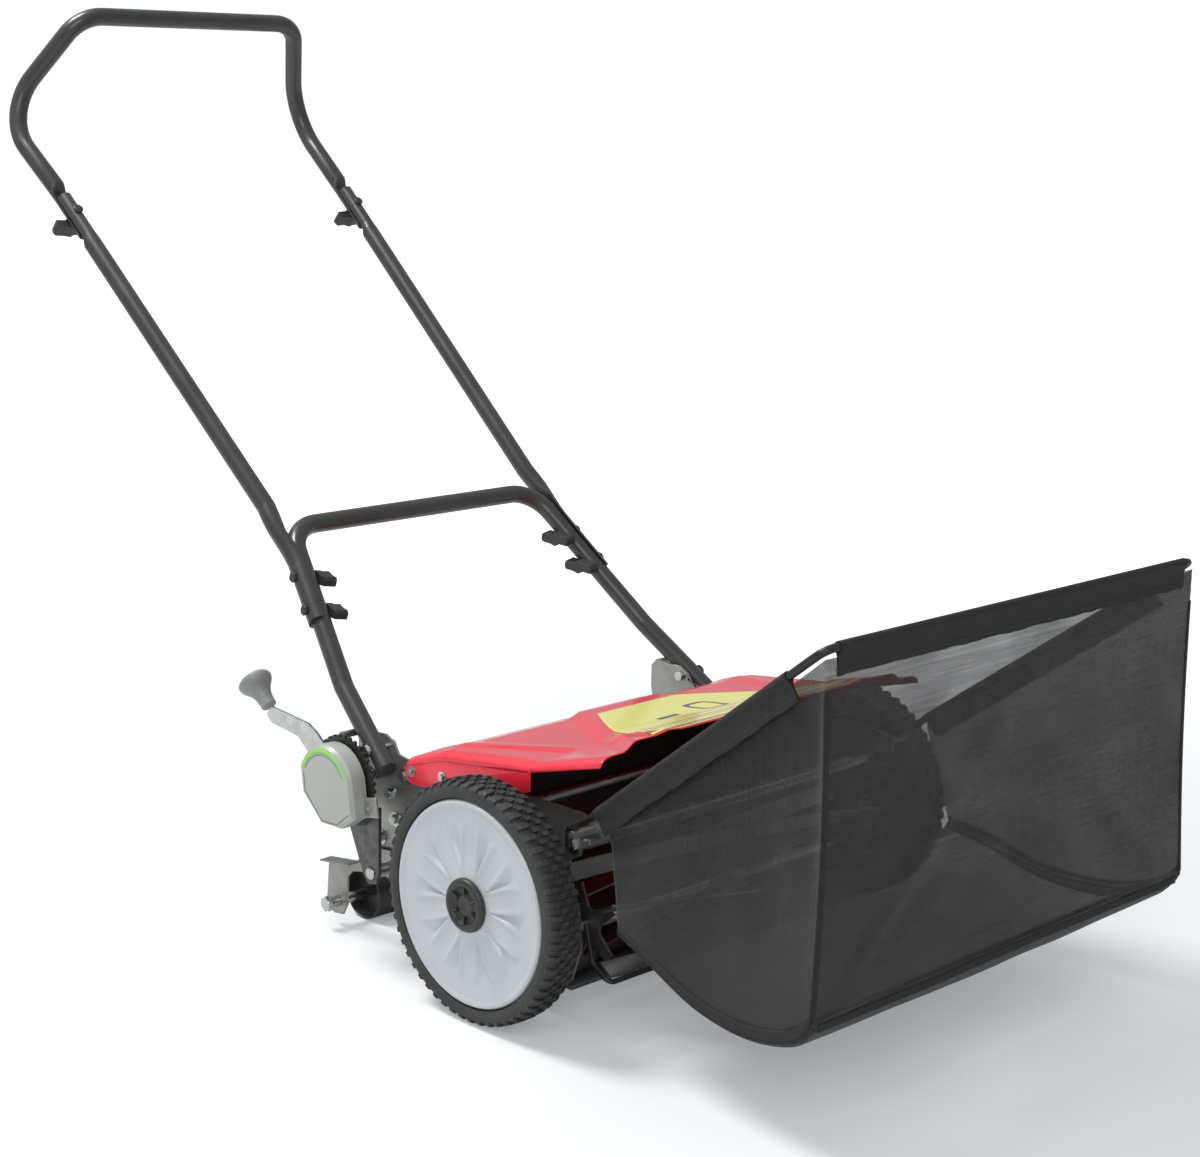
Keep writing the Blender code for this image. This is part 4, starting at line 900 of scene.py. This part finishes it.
POWDER_COAT = finish("PowderCoat", (0.040, 0.042, 0.041), (0.060, 0.062, 0.060), patches=(0.06, 0.5),
                     rough=(0.36, 0.18), grain=(0.0011, 0.18), metallic=0.1, coat=0.35)


def ring_of(radius, half, squash, shape):
    """A tube's section: a circle that turns into a crescent, given its setback, radius and spread."""
    setback, bend, spread = shape
    section = []
    for i in range(TUBE_SIDES):
        a = math.tau * i / TUBE_SIDES
        span = spread if radius == TUBE_R else spread * 0.96
        fold = math.asin(math.sin(a)) * span / (math.pi / 2)
        from_bend = bend + half * math.cos(a)
        round_point = Vector((radius * math.cos(a), radius * math.sin(a)))
        crescent = Vector((from_bend * math.cos(fold) - setback, from_bend * math.sin(fold)))
        section.append(round_point.lerp(crescent, squash))
    return section


def tube_shell(stops):
    """A hollow tube from (point, normal, across, squash, shape, turn) stops, open at both ends."""
    mesh = bmesh.new()
    outer = []
    inner = []
    for point, normal, across, amount, shape, turn in stops:
        for rings, radius, thick in ((outer, TUBE_R, 0.0020), (inner, TUBE_R - TUBE_WALL, 0.0007)):
            section = ring_of(radius, thick, amount, shape)
            section = section[turn:] + section[:turn]
            rings.append([mesh.verts.new(point + normal * u + across * v) for u, v in section])
    loft(mesh, outer)
    loft(mesh, inner)
    for end in (0, -1):
        loft(mesh, [outer[end], inner[end]])
    return mesh


lower_run = rounded(both_sides([(LOWER_END, 0), (LOWER_KINK, 0.05), (LOWER_CORNER, 0.045)]), 12)
lower_stops = [(point, normal, across, 0, HALF_SHELL, 0)
               for point, (_, normal, across) in zip(lower_run, frames(lower_run, (1, 0, 0)))]
show("lower_tube", settle(tube_shell(lower_stops)), POWDER_COAT, "handle", ["lower_handle"], sharp=50)

plug = [(0, 0), (0, 0.0092), (0.0010, 0.0092), (0.0010, 0.0109), (-0.0010, 0.0109), (-0.0022, 0.0098),
        (-0.0032, 0.0070), (-0.0036, 0)]
for side, sign in LEFT_FIRST:
    mirrored = Vector((sign, 1, 1))
    show("tube_plug_" + side, settle(aim(turned(plug, (0, 0), 32), LOWER_END * mirrored,
                                         (LOWER_KINK - LOWER_END) * mirrored)),
         BLACK_MOULDING, "handle")

start = LOWER_KINK + LEG * 0.088 + HUG * NEST
leave = LOWER_KINK + LEG * 0.170 + HUG * (NEST + 0.001)
end = JOINT + SHAFT * 0.005
bends = rounded([(leave, 0), (MID_BEND, 0.030), (end, 0)], 8)[1:-1]
nested = [(start.lerp(leave, k / 10), 1) for k in range(11)]
nested += [(leave.lerp(bends[0], k / 6), 1 - ease(k / 5)) for k in range(1, 6)]
nested += [(point, 0) for point in [*bends, JOINT - SHAFT * 0.12]]
shell = [(JOINT - SHAFT * (0.073 - 0.015 * k / 6), ease(k / 6)) for k in range(7)]
shell += [(JOINT - SHAFT * 0.030, 1), (end, 1)]


def square_to(way, line):
    """The part of way that lies square to a line, one long."""
    return (way - line * way.dot(line)).normalized()


across_shaft, above_shaft = square_to(HUG, SHAFT), square_to(OVER, SHAFT)
over_turn = -math.atan2(across_shaft.cross(above_shaft).dot(SHAFT), across_shaft.dot(above_shaft))
shell_turn = round(over_turn * TUBE_SIDES / math.tau)
mid_run = nested + shell
mid_stops = []
for i, (tangent, _, _) in enumerate(frames([point for point, _ in mid_run], HUG)):
    point, amount = mid_run[i]
    away, shape, turn = (HUG, CRESCENT, 0) if i < len(nested) else (OVER, HALF_SHELL, shell_turn)
    normal = square_to(away, tangent)
    mid_stops.append((point, normal, tangent.cross(normal), amount, shape, turn))
for side in SIDES:
    mesh = tube_shell(mid_stops)
    if side == "right":
        mesh.transform(Matrix.Diagonal((-1, 1, 1, 1)))
    show("mid_tube_shell_" + side, settle(mesh), POWDER_COAT, "handle", ["mid_tube_" + side], sharp=50)

half = [(JOINT - SHAFT * 0.055, 0), (JOINT - SHAFT * 0.020, 0)]
half += [(JOINT + SHAFT * (0.009 + 0.017 * k / 5), 0) for k in range(6)]
half += [(TOP_BEND, 0.065), (TOP_CORNER, 0.045)]
upper_run = rounded(both_sides(half), 14)
ends = [1, 1] + [1 - ease(k / 5) for k in range(6)]
amounts = ends + [0] * (len(upper_run) - 2 * len(ends)) + ends[::-1]
upper_stops = [(point, normal, across, amount, HALF_SHELL, 0)
               for point, (_, normal, across), amount in zip(upper_run, frames(upper_run, -OVER), amounts)]
show("upper_tube", settle(tube_shell(upper_stops)), POWDER_COAT, "handle", ["upper_handle"], sharp=50)

# Handle bolts: a zinc plated bolt on each side that the whole handle tilts on. Each one goes
# through the plate, and its hex head stands outside the tube.

for side, sign in SIDES.items():
    bolt = "pivot_bolt_" + side
    eased(bolt, 0.0003, ZINC, "chassis", turn=1)
    head = Vector((sign * (reach(bolt)[1] - 0.0030), *middle(bolt)))
    screws("pivot_head_" + side, facing_points([(head, (sign, 0, 0))]),
           head=(0.0066, 0.0022), washer=(0.0078, 0.0006))

# Wing knobs: black moulded knobs with two wings, each on the bolt that clamps a tube joint.
# The moulding is rounded all over; the bolt's domed head on the other side, zinc on the real mower, is not
# given a zinc finish here.

for side in SIDES:
    for word in ("rear", "front", "upper"):
        node = f"wing_knob_{side}_{word}"
        eased(node, 0.0011, BLACK_MOULDING, node, turn=1)

# Catcher rim: a black wire along the top of the bag, bent into a hook at each rear end that
# hangs over a stud. It is bare only at the hooks and in the short gaps at the front corners.

RIM_BACK = Vector((0.2575, -0.112, 0.2301))
RIM_CORNER = Vector((0.291, -0.433, 0.4703))
RIM_R = 0.004
rim_hook = corners_at((0.2575, -0.0892, 0.1990, 0), (0.2575, -0.0892, 0.2185, 0.006))
rim_run = rounded(both_sides([*rim_hook, (RIM_BACK, 0.010), (RIM_CORNER, 0.012)]), 8)
show("catcher_rim_wire", settle(rod(rim_run, RIM_R, 16, up=(1, 0, 0))), BLACK_WIRE, "catcher",
     ["catcher_rim"], sharp=50)
base_run = rounded(both_sides(corners_at((0.2545, -0.176, 0.1275, 0), (0.2745, -0.300, 0.0995, 0.20),
                                         (0.286, -0.385, 0.104, 0.08), (0.2885, -0.4310, 0.132, 0.015))), 8)
show("catcher_base_wire", settle(rod(base_run, 0.0022, 12)), BLACK_WIRE, "catcher", ["catcher_base"],
     sharp=50)

# Catcher bag: one sheet of black woven mesh cut and sewn to two sides, a floor and a front.
# It hangs from the rim and is held out by the wire in its lower seam, sagging between them.

BAG = [  # top y, floor y, floor z, half width at the top and at the floor
    (-0.136, -0.165, 0.124, 0.2520, 0.262), (-0.205, -0.215, 0.113, 0.2600, 0.272),
    (-0.280, -0.285, 0.092, 0.2700, 0.281), (-0.350, -0.355, 0.089, 0.2790, 0.290),
    (-0.410, -0.415, 0.104, 0.2865, 0.297), (-0.4330, -0.4400, 0.127, 0.2910, 0.299)]


def station(s):
    """The bag's cut sizes at s, from 0 at the rear to 1 at the front, run smoothly through BAG."""
    place = s * (len(BAG) - 1)
    k = min(int(place), len(BAG) - 2)
    u = place - k
    p0, p1, p2, p3 = (BAG[min(max(k + d, 0), len(BAG) - 1)] for d in (-1, 0, 1, 2))
    return [0.5 * (2 * b + (c - a) * u + (2 * a - 5 * b + 4 * c - d) * u * u
                   + (3 * b - 3 * c + d - a) * u ** 3) for a, b, c, d in zip(p0, p1, p2, p3)]


SIDE_CELLS, TURN_CELLS, FLOOR_CELLS, LENGTH_CELLS = 34, 5, 66, 56


def rim_height(y):
    """Height of the cloth's top edge, just under the rim wire."""
    return RIM_BACK.z + (RIM_CORNER.z - RIM_BACK.z) * (y - RIM_BACK.y) / (RIM_CORNER.y - RIM_BACK.y) - 0.0090


def wall_point(s, t):
    """A place on the left side wall: s along the bag, t down it, pulled in and creased a little."""
    top_y, low_y, low_z, top_w, low_w = station(s)
    top_z = rim_height(top_y)
    y = top_y + (low_y - top_y) * t
    z = top_z + (low_z + 0.010 - top_z) * t
    x = top_w + (low_w - top_w) * t
    tall = top_z - low_z
    x -= 0.05 * tall * math.sin(math.pi * t) * (0.35 + 0.65 * math.sin(math.pi * min(s * 1.02, 1)))
    folds = noise.noise(Vector((y * 9 + t * 2.2, t * 2.0 - y * 5, 3.0)))
    drape = math.sin(y * 70 + t * 3.5) * noise.noise(Vector((y * 6, 1.7, t)))
    x += (0.0035 * folds + 0.0022 * drape) * math.sin(math.pi * t) ** 0.8 * min(1, (1 - s) * 9)
    return Vector((x, y, z))


def floor_point(s, u):
    """A place on the floor: u is -1 at the right seam and 1 at the left one."""
    _, low_y, low_z, _, low_w = station(s)
    width = low_w - 0.010
    hang = 0.0045 * (1 - u * u) * math.sin(math.pi * min(max(s, 0.0), 1) * 0.95 + 0.1)
    crease = 0.0016 * noise.noise(Vector((u * 3.1, s * 4.3, 9.0))) * (1 - u ** 4)
    return Vector((width * u, low_y, low_z - hang + crease))


def bag_section(s):
    """The bag's outline at s, from the top of the left side, under the floor, to the right's top."""
    left = [wall_point(s, i / SIDE_CELLS) for i in range(SIDE_CELLS + 1)]
    _, low_y, low_z, _, low_w = station(s)
    heel = [Vector((low_w - 0.010 + 0.010 * math.cos(a), low_y, low_z + 0.010 - 0.010 * math.sin(a)))
            for a in [math.pi / 2 * k / TURN_CELLS for k in range(1, TURN_CELLS)]]
    half = left + heel
    floor = [floor_point(s, 1 - 2 * i / FLOOR_CELLS) for i in range(FLOOR_CELLS + 1)]
    return half + floor + [flipped(point) for point in reversed(half)]


def front_point(near, far, v, part):
    """A place on the front panel between two points of its sides: v across, part of the way down."""
    point = near.lerp(far, v)
    belly = 0.008 * math.sin(math.pi * v) * math.sin(math.pi * part)
    u = 2 * v - 1
    pulls = 0
    for corner_u, corner_t in ((-1.0, 0.92), (0.96, 0.90)):
        for slope in (0.28, 0.62, 1.15):
            run = abs(u - corner_u)
            height = corner_t - run * slope * 0.62
            away = (part - height) / (0.018 + 0.05 * run)
            pulls += math.exp(-away * away) * math.exp(-run * 1.1) * min(run * 6, 1)
    point.y += belly - 0.0042 * pulls * math.sin(math.pi * part) ** 0.5 * min(1, 6 * (1 - abs(u)))
    return point


sections = [bag_section(k / LENGTH_CELLS) for k in range(LENGTH_CELLS + 1)]
mesh = bmesh.new()
uv_cut = mesh.loops.layers.uv.new("cut")
rows = [[mesh.verts.new(point) for point in section] for section in sections]
bag_faces = []
cut_place = {}
for k, row in enumerate(rows):
    run = 0.0
    for i, vert in enumerate(row):
        run += (sections[k][i] - sections[k][i - 1]).length if i else 0
        cut_place[vert] = (run, sections[k][i].y * 1.15)
for first, second in zip(rows, rows[1:]):
    for i in range(len(first) - 1):
        bag_faces.append(mesh.faces.new((first[i], first[i + 1], second[i + 1], second[i])))
for face in bag_faces:
    for corner in face.loops:
        corner[uv_cut].uv = cut_place[corner.vert]
front = rows[-1]
heel_count = SIDE_CELLS + TURN_CELLS
lines = []
for i in range(heel_count):
    near, far = sections[-1][i], sections[-1][-1 - i]
    part = i / heel_count
    line = [front[i]]
    for j in range(1, FLOOR_CELLS):
        line.append(mesh.verts.new(front_point(near, far, j / FLOOR_CELLS, part)))
    line.append(front[-1 - i])
    lines.append(line)
lines.append([front[heel_count + j] for j in range(FLOOR_CELLS + 1)])
for first, second in zip(lines, lines[1:]):
    for j in range(FLOOR_CELLS):
        face = mesh.faces.new((first[j], second[j], second[j + 1], first[j + 1]))
        for corner in face.loops:
            corner[uv_cut].uv = (corner.vert.co.x + 2.0, corner.vert.co.z + 3.0)


def mesh_cloth(name, opacity, thread, bright):
    """Woven mesh: round threads both ways over the cut map, with open holes between them."""
    made, tree, shader = new_material(name, Sheen_Weight=0.25, Sheen_Roughness=0.5)
    cut = put(tree, "ShaderNodeUVMap", {"uv_map": "cut"}).outputs["UV"]
    split = put(tree, "ShaderNodeSeparateXYZ", Vector=cut)

    def threads(value, phase):
        wave = maths(tree, "SINE", maths(tree, "MULTIPLY_ADD", value, math.tau / thread, phase))
        return maths(tree, "MULTIPLY_ADD", wave, 0.5, 0.5)

    high = maths(tree, "MAXIMUM", threads(split.outputs["X"], 0.0), threads(split.outputs["Y"], 1.1))
    slack = noise_over(tree, object_place(tree), 14.0, 4.0)
    streak_place = put(tree, "ShaderNodeMapping", Vector=cut, Scale=(8.0, 260.0, 1.0))
    streaks = noise_over(tree, streak_place.outputs[0], 1.0, 2.0)
    mottle = maths(tree, "MULTIPLY_ADD", slack, 0.30, maths(tree, "MULTIPLY", streaks, 0.22))
    cover = maths(tree, "ADD", maths(tree, "MULTIPLY_ADD", high, 0.36, opacity - 0.52), mottle)
    solid = put(tree, "ShaderNodeClamp", Value=cover, Min=0.05, Max=1.0)
    tree.links.new(solid.outputs[0], shader.inputs["Alpha"])
    tint = mixed(tree, slack, (bright * 0.75, bright * 0.8, bright * 0.88, 1),
                 (bright * 1.35, bright * 1.3, bright * 1.35, 1))
    tree.links.new(tint, shader.inputs["Base Color"])
    tree.links.new(maths(tree, "MULTIPLY_ADD", high, -0.15, 0.85), shader.inputs["Roughness"])
    bump_into(shader.inputs["Normal"], tree, high, 0.5, 0.0004)
    return made


MESH_CLOTH = mesh_cloth("BlackMeshCloth", 0.62, 0.0011, 0.009)
cloth_area = sum(face.calc_area() for face in mesh.faces)
bag = show("bag_cloth", settle(mesh), MESH_CLOTH, "catcher", ["catcher_bag"], sharp=60)
thicken(bag, 0.0006, 0.0)

# Bag bindings: doubled black tape sewn over every edge. It wraps the rim wire in a wide hem,
# runs down both front corners and stiffens the lower seam, with a line of stitches along it.

TAPE = finish("BindingTape", (0.012, 0.013, 0.013), (0.026, 0.027, 0.027), patches=(0.010, 0.7),
              rough=(0.72, 0.25), grain=(0.0008, 0.9))


def hem_loop(point, down, across, width):
    """One section of a hem: round the wire, then both layers side by side down to its edge."""
    loop = []
    for k in range(13):
        a = math.radians(38 + 284 * k / 12)
        loop.append(point + 0.0052 * (math.cos(a) * down + math.sin(a) * across))
    for drop, aside in ((0.0090, -0.0014), (width - 0.001, -0.0011), (width, 0), (width - 0.001, 0.0011),
                        (0.0090, 0.0014)):
        loop.append(point + down * drop + across * aside)
    return loop


stitch_marks = []


def hem(name, first, last, steps, down, width):
    """A hem from first to last, closed at both ends, with stitches marked on both of its faces."""
    mesh = bmesh.new()
    rings = []
    run = [first.lerp(last, k / steps) for k in range(steps + 1)]
    for point, (tangent, _, _) in zip(run, frames(run, (0, 0, 1))):
        ripple = 0.0012 * noise.noise(point * 60) + 0.0008 * noise.noise(point * 23)
        lean = square_to(Vector(down), tangent)
        outward = tangent.cross(lean)
        rings.append([mesh.verts.new(p) for p in hem_loop(point, lean, outward, width + ripple)])
        seam = point + lean * (width - 0.005)
        stitch_marks.extend((seam + outward * 0.0014 * way, tangent) for way in (1, -1))
    closed_loft(mesh, rings)
    show(name, settle(mesh), TAPE, "catcher", sharp=40)


for side, sign in LEFT_FIRST:
    flip = Vector((sign, 1, 1))
    back, whole = RIM_BACK * flip, (RIM_CORNER - RIM_BACK) * flip
    hem("side_hem_" + side, back + whole * 0.055, back + whole * 0.865, 70, (sign * 0.02, 0.0, -1), 0.024)
hem("front_hem", Vector((-0.274, RIM_CORNER.y, RIM_CORNER.z)), Vector((0.274, RIM_CORNER.y, RIM_CORNER.z)),
    110, (0, -0.02, -1), 0.026)


def tape_strip(name, pairs, thickness):
    """A flat tape laid over the cloth, from pairs of points at its two edges."""
    mesh = grid_mesh([[a.lerp(b, k / 4) for k in range(5)] for a, b in pairs])
    made = show(name, settle(mesh), TAPE, "catcher", sharp=60)
    thicken(made, thickness, 0.0)


for side, sign in LEFT_FIRST:
    flip = Vector((sign, 1, 1))
    outer_pairs = []
    front_pairs = []
    for k in range(4, 41):
        t = k / 40
        corner = wall_point(1.0, t) * flip + Vector((sign * 0.0004, -0.0006, 0))
        outer_pairs.append((wall_point(0.985, t) * flip + Vector((sign * 0.0009, 0, 0)), corner))
        inward = front_point(corner, flipped(corner), 0.008, t * SIDE_CELLS / heel_count)
        front_pairs.append((corner, inward + Vector((0, -0.0007, 0))))
    tape_strip("corner_side_tape_" + side, outer_pairs, 0.0012)
    tape_strip("corner_front_tape_" + side, front_pairs, 0.0012)
    seam_pairs = []
    floor_pairs = []
    for k in range(57):
        s = k / 56
        low = wall_point(s, 1.0) * flip + Vector((sign * 0.0008, 0, -0.0035))
        seam_pairs.append((wall_point(s, 0.975) * flip + Vector((sign * 0.0007, 0, 0)), low))
        under = floor_point(s, 1.0) * flip + Vector((0, 0, -0.0008))
        floor_pairs.append((low, under.lerp(low, 0.25)))
    tape_strip("seam_side_tape_" + side, seam_pairs, 0.0014)
    tape_strip("seam_floor_tape_" + side, floor_pairs, 0.0014)
for name, s, lift, width, thickness in (
        ("front_seam_tape", 1.0, (0, -0.0012, -0.0010), (0, 0.0003, 0.0070), 0.0016),
        ("rear_edge_tape", 0.0, (0, 0.001, -0.0008), (0, -0.014, -0.0012), 0.0014)):
    edge = [floor_point(s, 1 - 2 * j / 66) + Vector(lift) for j in range(67)]
    tape_strip(name, [(point, point + Vector(width)) for point in edge], thickness)


def stitch_tree():
    """Geometry Nodes: a short thread on every point, lying along the point's direction."""
    tree, given, out = growing_tree("HemStitches", ("Stitch Length", "Float", 0.0030),
                                    ("Thread Radius", "Float", 0.0004))
    thread = put(tree, "GeometryNodeMeshCylinder", Vertices=5, Radius=given.outputs["Thread Radius"],
                 Depth=given.outputs["Stitch Length"])
    return end_tree(tree, given, out, stood_on_points(tree, given, thread.outputs["Mesh"]))


THREAD = finish("SewingThread", (0.05, 0.05, 0.05), (0.09, 0.09, 0.09), patches=(0.004, 0.6),
                rough=(0.6, 0.2), grain=(0.0006, 0.4))
grown("hem_stitches", settle(facing_points(stitch_marks)), stitch_tree(), THREAD, "catcher",
                  slot="mesh_cloth")

# Studio: a plain pale floor with a painted glow that only the camera sees, faint near the mower and
# white further out, a wide soft light over the rear right that throws the mower's shadow forwards, and a large
# fill over the camera.

floor_mesh = bmesh.new()
bmesh.ops.create_circle(floor_mesh, cap_ends=True, segments=96, radius=14.0)
floor_data = bpy.data.meshes.new("studio_floor")
floor_mesh.to_mesh(floor_data)
floor_mesh.free()
studio_floor = new_object("studio_floor", floor_data)
pale = finish("PaleFloor", (0.80, 0.81, 0.83), (0.78, 0.79, 0.81), patches=(0.6, 0.3), rough=(0.9, 0.05),
              grain=(0.01, 0.0))
pale_tree = pale.node_tree
floor_reach = put(pale_tree, "ShaderNodeVectorMath", {"operation": "LENGTH"}, i0=object_place(pale_tree))
# Painted light: the floor glows for camera rays, from 0.26 near the mower up to 1.0 further out.
camera_glow = put(pale_tree, "ShaderNodeMapRange", {"interpolation_type": "SMOOTHSTEP"},
            Value=floor_reach.outputs["Value"], From_Min=0.75, From_Max=2.6, To_Min=0.26, To_Max=1.0)
seen = maths(pale_tree, "MULTIPLY", camera_glow.outputs["Result"],
             put(pale_tree, "ShaderNodeLightPath").outputs["Is Camera Ray"])
pale_shader = pale_tree.nodes["Principled BSDF"]
pale_shader.inputs["Specular IOR Level"].default_value = 0.1
pale_shader.inputs["Emission Color"].default_value = (0.94, 0.98, 1.0, 1)
pale_tree.links.new(seen, pale_shader.inputs["Emission Strength"])
floor_data.materials.append(pale)
studio_floor.location = (0, 0, -0.0004)

world = bpy.data.worlds.new("studio")
bpy.context.scene.world = world
world.use_nodes = True
background = world.node_tree.nodes["Background"]
background.inputs["Color"].default_value = (0.96, 0.98, 1.0, 1)
white_seen = put(world.node_tree, "ShaderNodeMapRange",
                 Value=put(world.node_tree, "ShaderNodeLightPath").outputs["Is Camera Ray"],
                 To_Min=0.42, To_Max=1.05)
world.node_tree.links.new(white_seen.outputs["Result"], background.inputs["Strength"])


def soft_light(name, place, target, size, power, colour):
    """A round area light at place, aimed at target."""
    lamp = bpy.data.lights.new(name, "AREA")
    lamp.shape = "DISK"
    lamp.size = size
    lamp.energy = power
    lamp.color = colour
    made = new_object(name, lamp)
    made.location = place
    made.rotation_euler = (Vector(target) - Vector(place)).to_track_quat("-Z", "Y").to_euler()


soft_light("key_light", (-0.9, 1.3, 3.0), (0, -0.15, 0.2), 1.2, 72.0, (1.0, 0.98, 0.95))
soft_light("fill_light", (-2.6, -2.2, 2.2), (0, -0.1, 0.4), 2.2, 32.0, (1.0, 1.0, 1.0))

# Camera: a long lens low in front of the mower's right side, tipped a little about its own
# line of sight.

lens_data = bpy.data.cameras.new("camera")
lens_data.lens = 69.24
lens_data.sensor_width = 36.0
lens_data.shift_x = -0.0231
lens_data.shift_y = -0.0158
camera = new_object("camera", lens_data)
eye = Vector((-1.7625, -1.6466 + axle_y, 0.9433))
looked_at = Vector((0, 0.092 + axle_y, 0.424))
back = (eye - looked_at).normalized()
right = (-back).cross(Vector((0, 0, 1))).normalized()
up = right.cross(-back)
roll = math.radians(1.31)
tilted_right = math.cos(roll) * right + math.sin(roll) * up
tilted_up = -math.sin(roll) * right + math.cos(roll) * up
camera.matrix_world = Matrix((
    (tilted_right.x, tilted_up.x, back.x, eye.x),
    (tilted_right.y, tilted_up.y, back.y, eye.y),
    (tilted_right.z, tilted_up.z, back.z, eye.z),
    (0, 0, 0, 1)))
lens_data.clip_end = 60.0
bpy.context.scene.camera = camera
bpy.context.scene.view_settings.view_transform = "Standard"
